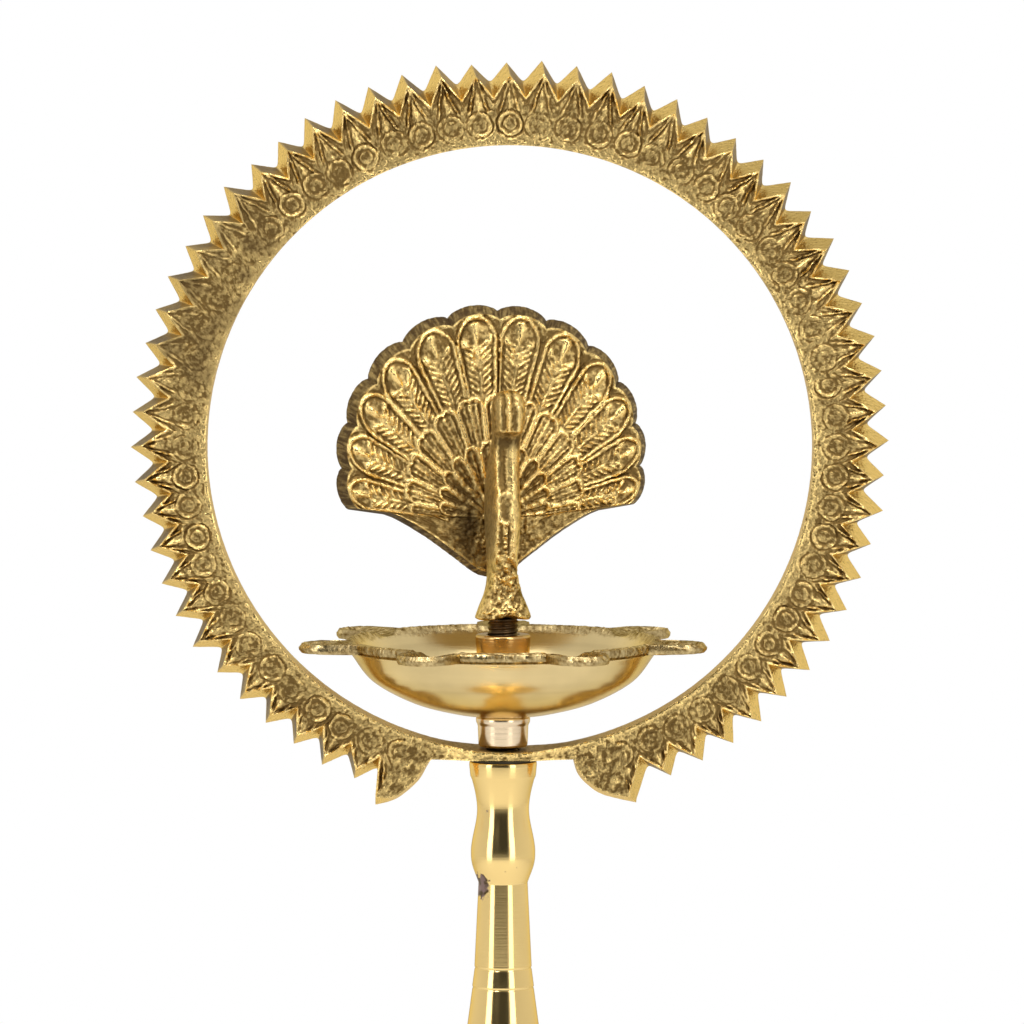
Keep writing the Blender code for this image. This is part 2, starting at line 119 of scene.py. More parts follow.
# Stage
TARGET = np.array([2.4 * MM, 0.0, 0.3362])
FLOOR_RINGS, FLOOR_STEPS, FLOOR_BELOW = 12, 96, 0.2 * MM
SOFTBOXES = (  # name, azimuth and elevation in degrees, distance, width, height, power
    ("left_softbox", -50, 4, 1.5, 0.50, 2.4, 9.0),
    ("right_softbox", 34, 4, 1.5, 0.48, 2.4, 8.5),
    ("high_left", -28, 42, 1.6, 0.34, 0.34, 8.0),
    ("high_right", 34, 48, 1.6, 0.34, 0.34, 6.5),
    ("top_softbox", 0, 80, 1.5, 1.2, 1.2, 6.0))
ROOM_LEVELS = (  # degrees from the front, and how bright the room is there
    (-180, 0.50), (-165, 0.56), (-150, 0.95), (-95, 0.82), (-60, 0.76), (-44, 0.68), (-36, 0.04),
    (17, 0.04), (25, 0.68), (60, 0.76), (95, 0.82), (150, 0.95), (165, 0.56), (180, 0.50))
CEILING_LEVEL = 0.62


# --- Settings ------------------------------------------------------------------------------

def colour_property(name, description, value):
    """Linear colour with the usual picker."""
    return FloatVectorProperty(name=name, description=description, subtype="COLOR", size=3,
                               min=0.0, max=1.0, default=value)


class LampFinish(bpy.types.PropertyGroup):
    """Colours of the lamp's finishes."""
    polished: colour_property("Polished brass", "Turned and buffed brass", (0.90, 0.65, 0.26))
    cast: colour_property("Cast brass", "Raised parts of the castings", (0.90, 0.645, 0.245))
    hollow: colour_property("Hollows", "Old polish and dirt in the castings", (0.18, 0.11, 0.034))
    # real tarnish, and also the painted shade of the dark tooth flanks and of the bird's left flank,
    # and the painted shadows under the beak and of the bird on its tail
    tarnish_and_shade: colour_property("Tarnish", "Brown skin on unpolished edges", (0.062, 0.036, 0.013))
    lathe: colour_property("Lathe brass", "Turned pan", (0.76, 0.585, 0.285))
    collar: colour_property("Collar", "Pale collar under the pan", (0.84, 0.66, 0.44))
    socket: colour_property("Socket", "Darker socket in the pan", (0.60, 0.38, 0.14))
    iron: colour_property("Rod", "Dark threaded rod", (0.10, 0.065, 0.035))
    steel: colour_property("Zinc", "Nut and washer under the foot", (0.50, 0.50, 0.49))


class LampShape(bpy.types.PropertyGroup):
    """Depths of the relief and fineness of the surfaces."""
    ring_relief: FloatProperty(name="Ring relief", description="Height of the roundels",
                               default=0.42 * MM, min=0.0, unit="LENGTH")
    fan_relief: FloatProperty(name="Tail relief", description="Height of the feather outlines",
                              default=0.72 * MM, min=0.0, unit="LENGTH")
    casting_grain: FloatProperty(name="Casting grain", description="Roughness of the castings",
                                 default=0.07 * MM, min=0.0, unit="LENGTH")
    tooth_wander: FloatProperty(name="Tooth wander", description="Unevenness of the filed teeth",
                                default=0.7 * MM, min=0.0, unit="LENGTH")
    round_steps: IntProperty(name="Round steps", description="Facets round a turned piece",
                             default=144, min=24, max=360)


class LampStage(bpy.types.PropertyGroup):
    """Floor, lights and camera."""
    floor: colour_property("Floor", "Plain pale floor", (0.76, 0.76, 0.76))
    floor_radius: FloatProperty(name="Floor radius", description="Size of the floor disc",
                                default=1.3, min=0.3, unit="LENGTH")
    distance: FloatProperty(name="Camera distance", description="From the lamp's axis",
                            default=4.0, min=0.5, unit="LENGTH")
    elevation: FloatProperty(name="Camera elevation", description="Above the horizontal",
                             default=math.radians(5.0), unit="ROTATION")
    field: FloatProperty(name="Field", description="Width that the camera takes in at the lamp",
                         default=0.2744, min=0.01, unit="LENGTH")


# --- Mesh tools ----------------------------------------------------------------------------

def hashed(cells, seed):
    """Repeatable number from 0 to 1 for whole-number cells: the fraction of a large sine."""
    mix = cells[..., 0] * 12.9898 + cells[..., 1] * 78.233 + cells[..., 2] * 37.719 + seed * 4.17
    value = np.sin(mix) * 43758.5453
    return value - np.floor(value)


def per_number(number, row, seed):
    """Repeatable value from 0 to 1 for each tooth or feather, by its number."""
    return hashed(np.stack([number, number * 0 + row, number * 0], -1), seed)


def grain(points, size, seed=0.0):
    """Smooth noise from -1 to 1: hashed values at cell corners, blended with eased weights."""
    scaled = np.asarray(points) / size
    base = np.floor(scaled)
    part = scaled - base
    part = part * part * (3 - 2 * part)
    total = np.zeros(scaled.shape[:-1])
    for corner in np.ndindex(2, 2, 2):
        step = np.array(corner)
        weight = np.prod(np.where(step, part, 1 - part), axis=-1)
        total += weight * hashed(base + step, seed)
    return 2 * total - 1


def rough(points, size, seed=0.0):
    """Two octaves of grain."""
    return 0.65 * grain(points, size, seed) + 0.35 * grain(points, size * 0.45, seed + 7)


def warp(points, size, reach, seed):
    """Two fields that push a drawn pattern about by up to reach, so that it looks cast."""
    return reach * rough(points, size, seed), reach * rough(points, size, seed + 3)


def bump_at(value, centre, width):
    """Bell of height 1 round a centre: e to minus the square of the distance over width."""
    return np.exp(-((value - centre) / width) ** 2)


def ease(value, low, high):
    """Smooth step from 0 at low to 1 at high."""
    share = np.clip((value - low) / (high - low), 0, 1)
    return share * share * (3 - 2 * share)


def around(radius, turn, z):
    """Points round the lamp's axis: x = r cos a, y = r sin a, and z as given."""
    x = radius * np.cos(turn)
    return np.stack([x, radius * np.sin(turn), np.broadcast_to(z, x.shape)], -1)


def turn_about_axis(points, angle):
    """Points turned about the lamp's axis."""
    turned_points = points.copy()
    turned_points[..., 0] = points[..., 0] * math.cos(angle) - points[..., 1] * math.sin(angle)
    turned_points[..., 1] = points[..., 0] * math.sin(angle) + points[..., 1] * math.cos(angle)
    return turned_points


def cap_row(y, z, columns):
    """One point of the middle plane as a whole row, which closes the end of a sheet."""
    return np.broadcast_to(np.array([0.0, y, z]), (1, columns, 3))


def sheet_faces(rows, columns, closed):
    """Corner numbers of the quads of a grid whose last column is joined to the first, and
    whose last row is too where it is closed."""
    row, column = np.meshgrid(np.arange(rows if closed else rows - 1), np.arange(columns),
                              indexing="ij")
    below, beside = (row + 1) % rows, (column + 1) % columns
    corners = [row * columns + column, row * columns + beside,
               below * columns + beside, below * columns + column]
    return np.stack(corners, -1).reshape(-1, 4)


def has_repeat(faces):
    """Which quads have the same corner twice."""
    ordered = np.sort(faces, axis=1)
    return (ordered[:, 1:] == ordered[:, :-1]).any(axis=1)


def distinct_corners(face):
    """Corners of a face in order, each once."""
    return list(dict.fromkeys(int(corner) for corner in face))


def turn_faces_out(mesh):
    """Make every face of a closed mesh look outward."""
    bm = bmesh.new()
    bm.from_mesh(mesh)
    bmesh.ops.recalc_face_normals(bm, faces=bm.faces)
    bm.to_mesh(mesh)
    bm.free()


def add_object(name, data):
    """Object with its data, in the scene's collection."""
    item = bpy.data.objects.new(name, data)
    bpy.context.scene.collection.objects.link(item)
    return item


def skin(name, sheet, material, body, nodes, sharp=40.0, hole=None):
    """One piece from a grid of points, welded where they meet, with its values per point."""
    rows, columns = sheet["points"].shape[:2]
    points = sheet["points"].reshape(-1, 3)
    _, first, same = np.unique(np.round(points / WELD_DISTANCE).astype(np.int64), axis=0,
                               return_index=True, return_inverse=True)
    faces = same.reshape(-1)[sheet_faces(rows, columns, sheet["closed"])]
    # a quad with two corners welded becomes a triangle, and one with less is dropped
    welded = has_repeat(faces)
    kept = [face for face in map(distinct_corners, faces[welded]) if len(face) == 3]
    mesh = bpy.data.meshes.new(name)
    mesh.from_pydata(points[first].tolist(), [], faces[~welded].tolist() + kept)
    for key, value in sorted(sheet.get("values", {}).items()):
        attribute = mesh.attributes.new(key, "FLOAT", "POINT")
        attribute.data.foreach_set("value", value.reshape(-1)[first].astype(np.float32))
    turn_faces_out(mesh)
    piece = add_object(name, mesh)
    if hole is not None:
        drill(piece, *hole)
    mesh = piece.data
    mesh.shade_smooth()
    mesh.set_sharp_from_angle(angle=math.radians(sharp))
    mesh.materials.clear()
    mesh.materials.append(material)
    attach(piece, body)
    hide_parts(*nodes)
    return piece


def drill(piece, radius, low, high, steps=48):
    """Cut a round hole on the lamp's axis through a piece, and apply the cut."""
    turn = np.linspace(0, math.tau, steps, endpoint=False)
    wall = around(np.full((2, 1), radius), turn, np.array([[low], [high]])).reshape(-1, 3)
    ends = [list(range(steps))[::-1], list(range(steps, 2 * steps))]
    mesh = bpy.data.meshes.new("drill")
    mesh.from_pydata(wall.tolist(), [], sheet_faces(2, steps, False).tolist() + ends)
    turn_faces_out(mesh)
    cutter = add_object("drill", mesh)
    cut = piece.modifiers.new("hole", "BOOLEAN")
    cut.operation, cut.object, cut.solver = "DIFFERENCE", cutter, "MANIFOLD"
    bpy.context.view_layer.update()
    whole = piece.evaluated_get(bpy.context.evaluated_depsgraph_get())
    piece.data = bpy.data.meshes.new_from_object(whole)
    piece.modifiers.clear()
    bpy.data.objects.remove(cutter)


# --- Profiles ------------------------------------------------------------------------------

def curve_through(points, steps=8):
    """Catmull-Rom curve: a cubic between each pair, leaving along its neighbours' chord."""
    points = np.asarray(points, float)
    padded = np.concatenate([points[:1], points, points[-1:]])
    before, here, there, after = (padded[i:len(padded) - 3 + i, None] for i in range(4))
    t = np.linspace(0, 1, steps, endpoint=False)[None, :, None]
    spans = 0.5 * (2 * here + (there - before) * t
                   + (2 * before - 5 * here + 4 * there - after) * t ** 2
                   + (3 * here - before - 3 * there + after) * t ** 3)
    return np.concatenate([spans.reshape(-1, points.shape[1]), points[-1:]])


def eased_corners(profile, radius):
    """Each inner corner replaced by a quadratic bend that starts and ends at radius from it."""
    before, corner, after = profile[:-2], profile[1:-1], profile[2:]
    back, on = before - corner, after - corner
    back_length = np.linalg.norm(back, axis=1, keepdims=True)
    on_length = np.linalg.norm(on, axis=1, keepdims=True)
    back = back * np.minimum(radius / back_length, 0.45)
    on = on * np.minimum(radius / on_length, 0.45)
    t = np.array([0.0, 0.5, 1.0])[None, :, None]
    corner, back, on = corner[:, None], back[:, None], on[:, None]
    bend = ((1 - t) ** 2 * (corner + back) + 2 * t * (1 - t) * corner + t ** 2 * (corner + on))
    return np.concatenate([profile[:1], bend.reshape(-1, 2), profile[-1:]])


def outline(*parts, radius=0.25 * MM):
    """Profile of (radius, height) in mm: lists are straight runs, tuples smooth curves."""
    runs = [curve_through(part) if isinstance(part, tuple) else np.asarray(part, float)
            for part in parts]
    return eased_corners(np.concatenate(runs) * MM, radius)


def bored(low, high, *parts, radius=0.25 * MM):
    """Outline round a bore for the rod, which runs from low to high. Its last point would be
    the first again, and is left out."""
    return outline([(BORE, high)], *parts, [(BORE, low), (BORE, high)], radius=radius)[:-1]


def revolve(profile, turn):
    """Profile of radius and height carried round the axis to each angle of the turn."""
    return around(profile[:, :1], turn, profile[:, 1:])


def turned_piece(context, name, profile, material, body, node, sharp=50.0):
    """A turned piece, as its bored profile revolved about the axis."""
    turn = np.linspace(0, math.tau, context.scene.lamp_shape.round_steps, endpoint=False)
    skin(name, {"points": revolve(profile, turn), "closed": True}, material, body, [node],
         sharp)


# --- Materials -----------------------------------------------------------------------------

def set_inputs(tree, node, inputs):
    """Link each input that is given a socket, and set the others."""
    for key, value in inputs.items():
        if isinstance(value, bpy.types.NodeSocket):
            tree.links.new(value, node.inputs[key])
        else:
            node.inputs[key].default_value = value


def add_node(tree, kind, inputs=None, **settings):
    """Node with its settings and inputs."""
    node = tree.nodes.new(kind)
    for key, value in settings.items():
        setattr(node, key, value)
    set_inputs(tree, node, inputs or {})
    return node


def per_point(tree, name):
    """Value that the mesh carries at each point."""
    return add_node(tree, "ShaderNodeAttribute", attribute_name=name).outputs["Fac"]


def noise(tree, place, scale, detail=4.0, stretch=(1, 1, 1)):
    """Noise of a scale in cells per metre, on a place stretched along each axis."""
    moved = add_node(tree, "ShaderNodeMapping", {"Vector": place, "Scale": stretch})
    return add_node(tree, "ShaderNodeTexNoise", {
        "Vector": moved.outputs[0], "Scale": scale, "Detail": detail}).outputs["Fac"]


def math_node(tree, operation, first, second=0.0, clamp=False):
    """Arithmetic on two values."""
    return add_node(tree, "ShaderNodeMath", {0: first, 1: second}, operation=operation,
                    use_clamp=clamp).outputs[0]


def span(tree, value, low, high, to_low=0.0, to_high=1.0):
    """Value carried from one range to another, clamped."""
    return add_node(tree, "ShaderNodeMapRange", {
        "Value": value, "From Min": low, "From Max": high, "To Min": to_low,
        "To Max": to_high}).outputs[0]


def plus_part(tree, value, share, part):
    """A value plus a part of a share."""
    return math_node(tree, "ADD", value, math_node(tree, "MULTIPLY", share, part))


def blend_colour(tree, share, first, second):
    """Mix of two colours, each a socket or three numbers."""
    ends = [end if isinstance(end, bpy.types.NodeSocket) else (*end, 1.0)
            for end in (first, second)]
    return add_node(tree, "ShaderNodeMix", {0: share, 6: ends[0], 7: ends[1]},
                    data_type="RGBA").outputs[2]


def dimmed(colour, level):
    """Colour times a level."""
    return tuple(level * part for part in colour)


def new_metal(name, metallic=1.0):
    """Material with its node tree, shader and Object coordinates."""
    material = bpy.data.materials.new(name)
    material.use_nodes = True
    tree = material.node_tree
    shader = tree.nodes["Principled BSDF"]
    set_inputs(tree, shader, {"Metallic": metallic, "Specular Tint": (0.95, 0.78, 0.42, 1.0)})
    return material, tree, shader, tree.nodes.new("ShaderNodeTexCoord").outputs["Object"]


def bump(tree, height, distance, strength=1.0, normal=None):
    """Bump of a height field, over an earlier one."""
    inputs = {"Height": height, "Distance": distance, "Strength": strength}
    if normal is not None:
        inputs["Normal"] = normal
    return add_node(tree, "ShaderNodeBump", inputs).outputs[0]


def polished_brass(finish, name, chip=None):
    """Buffed brass: a near mirror with turning lines, faint clouding and dark specks."""
    material, tree, shader, place = new_metal(name)
    cloud = noise(tree, place, 45, 5)
    specks = noise(tree, place, 420, 3)
    lines = noise(tree, place, 2200, 2, (0.02, 0.02, 1))
    spots = span(tree, specks, 0.72, 0.78)
    if chip is not None:
        away = add_node(tree, "ShaderNodeVectorMath", {0: place, 1: chip}, operation="DISTANCE")
        ragged = math_node(tree, "ADD", away.outputs["Value"],
                           span(tree, noise(tree, place, 520, 4), 0.3, 0.7, -1.5 * MM, 1.5 * MM))
        spots = math_node(tree, "MAXIMUM", spots, span(tree, ragged, 3.9 * MM, 3.1 * MM))
    shade = blend_colour(tree, span(tree, cloud, 0.35, 0.75), finish.polished,
                         dimmed(finish.polished, 0.88))
    bare = blend_colour(tree, span(tree, specks, 0.42, 0.56), finish.tarnish_and_shade, (0.20, 0.13, 0.12))
    set_inputs(tree, shader, {
        "Base Color": blend_colour(tree, spots, shade, bare),
        "Roughness": plus_part(tree, span(tree, cloud, 0.3, 0.8, 0.13, 0.19), spots, 0.4),
        "Metallic": plus_part(tree, 1.0, spots, -0.7),
        "Anisotropic": 0.85, "Anisotropic Rotation": 0.25,
        "Normal": bump(tree, lines, 0.02 * MM, 0.5)})
    return material


def cast_brass(finish, name, ridge_roughness=0.22):
    """Cast brass: bright on what stands proud, brown in the hollows, with grain and pits, and the
    painted highlights, painted shade and painted shadows that the mesh carries with its relief and
    dirt.
    """
    material, tree, shader, place = new_metal(name)
    relief, dirt = per_point(tree, "relief"), per_point(tree, "dirt")
    cloud = noise(tree, place, 90, 5)
    fine = noise(tree, place, 900, 6)
    speck = noise(tree, place, 2200, 3)
    pits = add_node(tree, "ShaderNodeTexVoronoi", {"Vector": place, "Scale": 700.0},
                    feature="F1").outputs["Distance"]
    # the relief values carry painted highlights and painted shade as well as height
    worn = math_node(tree, "ADD", relief, span(tree, fine, 0.3, 0.7, -0.16, 0.16))
    worn = math_node(tree, "ADD", worn, span(tree, cloud, 0.3, 0.7, -0.10, 0.10))
    shade = blend_colour(tree, span(tree, worn, 0.10, 0.60), finish.hollow, finish.cast)
    shade = blend_colour(tree, span(tree, pits, 0.22, 0.08, 0.0, 0.65), shade, finish.hollow)
    # real dirt, and painted shade and painted shadows, all turned to the tarnish colour
    soiled_and_shaded = math_node(tree, "MULTIPLY", dirt, span(tree, cloud, 0.25, 0.60, 0.75, 1.1), True)
    first = bump(tree, fine, 0.42 * MM, 0.75)
    second = bump(tree, math_node(tree, "MINIMUM", pits, 0.35), 0.35 * MM, 0.6, first)
    dull = span(tree, worn, 0.1, 0.8, 0.46, ridge_roughness)
    set_inputs(tree, shader, {
        "Base Color": blend_colour(tree, soiled_and_shaded, shade, finish.tarnish_and_shade),
        "Roughness": plus_part(tree, dull, dirt, 0.15),
        "Metallic": plus_part(tree, 1.0, soiled_and_shaded, -0.75),
        "Specular IOR Level": 0.15,
        "Normal": bump(tree, speck, 0.10 * MM, 0.6, second)})
    return material


def turned_brass(finish, name, colour):
    """Brass left from the lathe: brushed rings round the axis, rough cast skin where raised."""
    material, tree, shader, place = new_metal(name)
    skin_share = per_point(tree, "dirt")
    flat = add_node(tree, "ShaderNodeSeparateXYZ", {"Vector": place})
    radius = math_node(tree, "SQRT", math_node(
        tree, "ADD", math_node(tree, "POWER", flat.outputs[0], 2.0),
        math_node(tree, "POWER", flat.outputs[1], 2.0)))
    ringed = add_node(tree, "ShaderNodeCombineXYZ", {"X": radius, "Z": flat.outputs[2]})
    lines = noise(tree, ringed.outputs[0], 2600, 3)
    broad = noise(tree, ringed.outputs[0], 420, 2)
    cloud = noise(tree, place, 70, 5)
    fine = noise(tree, place, 1100, 5)
    shade = blend_colour(tree, span(tree, cloud, 0.35, 0.7), colour, dimmed(colour, 0.84))
    shade = blend_colour(tree, span(tree, broad, 0.45, 0.75, 0.0, 0.35), shade,
                         dimmed(colour, 0.62))
    rough_skin = math_node(tree, "ADD", skin_share, span(tree, fine, 0.3, 0.7, -0.3, 0.3), True)
    rough_skin = math_node(tree, "MULTIPLY", rough_skin, span(tree, skin_share, 0.05, 0.3))
    first = bump(tree, lines, 0.05 * MM, 0.5)
    set_inputs(tree, shader, {
        "Base Color": blend_colour(tree, rough_skin, shade, finish.hollow),
        "Roughness": plus_part(tree, span(tree, cloud, 0.3, 0.7, 0.15, 0.24), skin_share, 0.22),
        "Normal": bump(tree, math_node(tree, "MULTIPLY", fine, skin_share), 0.5 * MM, 0.7,
                       first)})
    return material


def plain_metal(name, colour, roughness, metallic=1.0):
    """Rod, nut and washer: mottled metal with a fine grain."""
    material, tree, shader, place = new_metal(name, metallic)
    cloud = noise(tree, place, 260, 5)
    fine = noise(tree, place, 2200, 3)
    set_inputs(tree, shader, {
        "Base Color": blend_colour(tree, span(tree, cloud, 0.35, 0.7), colour,
                                   dimmed(colour, 0.55)),
        "Roughness": span(tree, cloud, 0.3, 0.7, roughness - 0.08, roughness + 0.1),
        "Normal": bump(tree, fine, 0.05 * MM, 0.5)})
    return material


# --- Ring ----------------------------------------------------------------------------------

def place_on_ring(radius, angle, centre_z):
    """x and z at an angle from the top, clockwise from the front: sine and cosine of it."""
    return RING_OFFSET + radius * np.sin(angle), centre_z + radius * np.cos(angle)


def tooth_height(angle, wander):
    """How far each tooth is filed short or long: one hashed number per tooth."""
    number = np.round((angle + LAST_TOOTH) / TOOTH_PITCH)
    return wander * (2 * per_number(number, 3, 2.0) - 1)


def tooth_outlines(angle, wander):
    """Front and back edges of the toothed band: straight-sided triangle waves, the back one
    with rounded valleys and turned half a degree."""
    phase = np.abs((angle + LAST_TOOTH) / TOOTH_PITCH
                   - np.round((angle + LAST_TOOTH) / TOOTH_PITCH)) * 2
    last = np.abs(angle) > LAST_TOOTH - 0.5 * TOOTH_PITCH
    longer = (tooth_height(angle, wander) + END_TOOTH_LONGER * last) * (1 - phase)
    slipped = np.stack([END_TOOTH_SLIP * last * (1 - phase), 0 * angle], -1)
    front = TIP_FRONT + longer - (TIP_FRONT - VALLEY_FRONT) * phase
    blunt = math.sqrt(VALLEY_ROUNDING)
    bent = np.sqrt((1 - phase) ** 2 + VALLEY_ROUNDING) - blunt
    back_share = 1 - bent / (math.sqrt(1 + VALLEY_ROUNDING) - blunt)
    back = TIP_BACK + longer - (TIP_BACK - VALLEY_BACK) * back_share
    return (np.stack(place_on_ring(front, angle, TEETH_CENTRE_Z), -1) + slipped,
            np.stack(place_on_ring(back, angle - BACK_TWIST, TEETH_CENTRE_Z), -1) + slipped)


def lug_outlines():
    """Angles and edges from the right end tooth round its lobe, along the lug and back up."""
    across = np.linspace(1, -1, LUG_STEPS)[1:-1]
    lug_angles = 180 - np.degrees(np.arcsin((across * LUG_HALF_TOP - RING_OFFSET / MM) / LUG_ARC))
    base = np.stack([across * LUG_HALF_BASE - LUG_MIDDLE, np.full(across.shape, LUG_BASE_Z)], -1)
    edges = []
    tips = tooth_outlines(np.array([LAST_TOOTH, -LAST_TOOTH]), 0.0)
    for tip, right, left in zip(tips, RIGHT_LOBE, LEFT_LOBE):
        down = curve_through(np.concatenate([tip[:1] / MM, right]), LOBE_STEPS)
        up = curve_through(np.concatenate([tip[1:] / MM, left]), LOBE_STEPS)[::-1]
        edges.append(np.concatenate([down, base, up]) * MM)
    lobe_angles = curve_through(np.array(LOBE_ANGLES)[:, None], LOBE_STEPS)[:, 0]
    angles = np.concatenate([lobe_angles, lug_angles, 360 - lobe_angles[::-1]])
    return np.radians(angles), *edges


def lug_half_depth(x):
    """Half depth of the band, eased out to the lug's near the axis."""
    nearness = ease(1 - np.abs(x) / LUG_REACH, 0, 1)
    return BAND_HALF_DEPTH + LUG_DEEPER * np.minimum(1, 1.6 * nearness)


def ring_front_relief(angle, x, z, edge_gap, inner_gap, toothed, shape):
    """Height, brightness and dirt over the front face, with a painted highlight along its outer edge.
    Each tooth carries a round boss of two raised circles, and beyond it a leaf with a raised edge,
    two veins and a stalk. The whole is pushed about, worn in patches and dented."""
    places = np.stack([x, x * 0, z], -1)
    push_x, push_z = warp(places, 1.7 * MM, 0.32 * MM, 31.0)
    turn = np.arctan2(x - RING_OFFSET, z - HOLE_CENTRE_Z)
    radius = np.hypot(x + push_x - RING_OFFSET, z + push_z - HOLE_CENTRE_Z)
    warped_turn = np.arctan2(x + push_x - RING_OFFSET, z + push_z - HOLE_CENTRE_Z)
    edge_gap = np.maximum(edge_gap + 0.4 * push_x, 0)
    tooth = np.round((angle + LAST_TOOTH) / TOOTH_PITCH)
    middle_x, middle_z = place_on_ring(LEAF_MIDDLE, tooth * TOOTH_PITCH - LAST_TOOTH,
                                       TEETH_CENTRE_Z)
    middle = np.arctan2(middle_x - RING_OFFSET, middle_z - HOLE_CENTRE_Z)
    across = radius * (np.mod(warped_turn - middle + math.pi, math.tau) - math.pi)
    strength = 0.45 + 0.55 * per_number(tooth, 11, 5.0)
    slip = 0.5 * MM * (2 * per_number(tooth, 11, 8.0) - 1)
    away = np.hypot(radius - BOSS_DISTANCE - slip, across - slip)
    boss = (0.40 * bump_at(away, 3.05 * MM, 0.28 * MM) - 0.75 * bump_at(away, 3.6 * MM, 0.26 * MM)
            + 0.30 * bump_at(away, 1.5 * MM, 0.26 * MM) - 0.45 * bump_at(away, 2.0 * MM, 0.26 * MM)
            - 0.12 * (1 - ease(away, 2.5 * MM, 3.0 * MM)))
    above = ease(radius, LEAF_START, LEAF_FULL)
    leaf_edge = 0.9 * bump_at(edge_gap, 0.25 * MM, 0.30 * MM) \
        - 0.6 * bump_at(edge_gap, 0.95 * MM, 0.35 * MM)
    to_tip = LEAF_TIP - radius
    vein_gap = np.abs(np.abs(across + 0.2 * slip) - 0.27 * to_tip)
    leaf_vein = (1.1 * bump_at(vein_gap, 0, 0.22 * MM)
                 - 0.7 * bump_at(vein_gap, 0.55 * MM, 0.25 * MM)) * above
    stalk = 0.6 * bump_at(across, 0, 0.22 * MM) * above * ease(to_tip, 2.5 * MM, 5 * MM)
    worn = 1 - 0.5 * ease(turn, *WORN_START) * (1 - ease(turn, *WORN_END))
    patchy = 0.55 + 0.75 * np.clip(0.5 + rough(places, 5 * MM, 3.0), 0, 1)
    pattern = (1.25 * boss * strength + leaf_edge + leaf_vein + stalk) * patchy * toothed
    lumps = (1 - toothed) * 0.45 * rough(places, 1.5 * MM, 41.0) * ease(edge_gap, 0, 1.2 * MM)
    pattern = pattern * worn + lumps
    rim = bump_at(inner_gap, 0.5 * MM, 0.5 * MM)
    texture = rough(places, 0.8 * MM, 1.0) + 0.9 * rough(places, 0.36 * MM, 9.0)
    dents = np.clip(rough(places, 1.1 * MM, 23.0) - 0.30, 0, 1)
    height = shape.ring_relief * (pattern - 0.8 * dents) + 0.12 * MM * rim \
        + shape.casting_grain * texture
    height = height * ease(np.minimum(edge_gap, inner_gap), -0.05 * MM, 0.35 * MM)
    bright = 0.27 + 0.62 * pattern + 0.30 * rim + 0.26 * texture - dents
    # painted highlight along the outer edge of the front face
    bright = bright + 0.50 * bump_at(edge_gap, 0.0, 0.30 * MM)
    bright = bright + 0.14 * (radius < PLAIN_BORDER)
    dirt = 1.2 * (1 - worn) * np.clip(0.7 + rough(places, 4 * MM, 6.0), 0, 1)
    dirt = dirt + 0.20 * np.clip(rough(places, 7 * MM, 14.0), 0, 1)
    return height, bright, dirt


def band_rows(start, end, shares, low, high, level, soil_and_shade):
    """Rows part of the way from one edge of the band to another, with a little cast
    unevenness away from the middle of the hole, and their brightness and their dirt and painted
    shade."""
    part = np.array(shares)[:, None]
    flat = start[None] + (end - start)[None] * part[..., None]
    y = low[None] + (high - low)[None] * part
    spot = np.stack([flat[..., 0], y, flat[..., 1]], -1)
    away = spot - np.array([RING_OFFSET, 0, HOLE_CENTRE_Z])
    away[..., 1] = 0
    away = away / np.linalg.norm(away, axis=-1, keepdims=True)
    spot = spot + away * (0.05 * MM * rough(spot, 0.8 * MM, 4.0))[..., None]
    return (spot, level + 0.12 * rough(spot, 0.7 * MM, 12.0),
            np.broadcast_to(soil_and_shade, spot.shape[:2]))


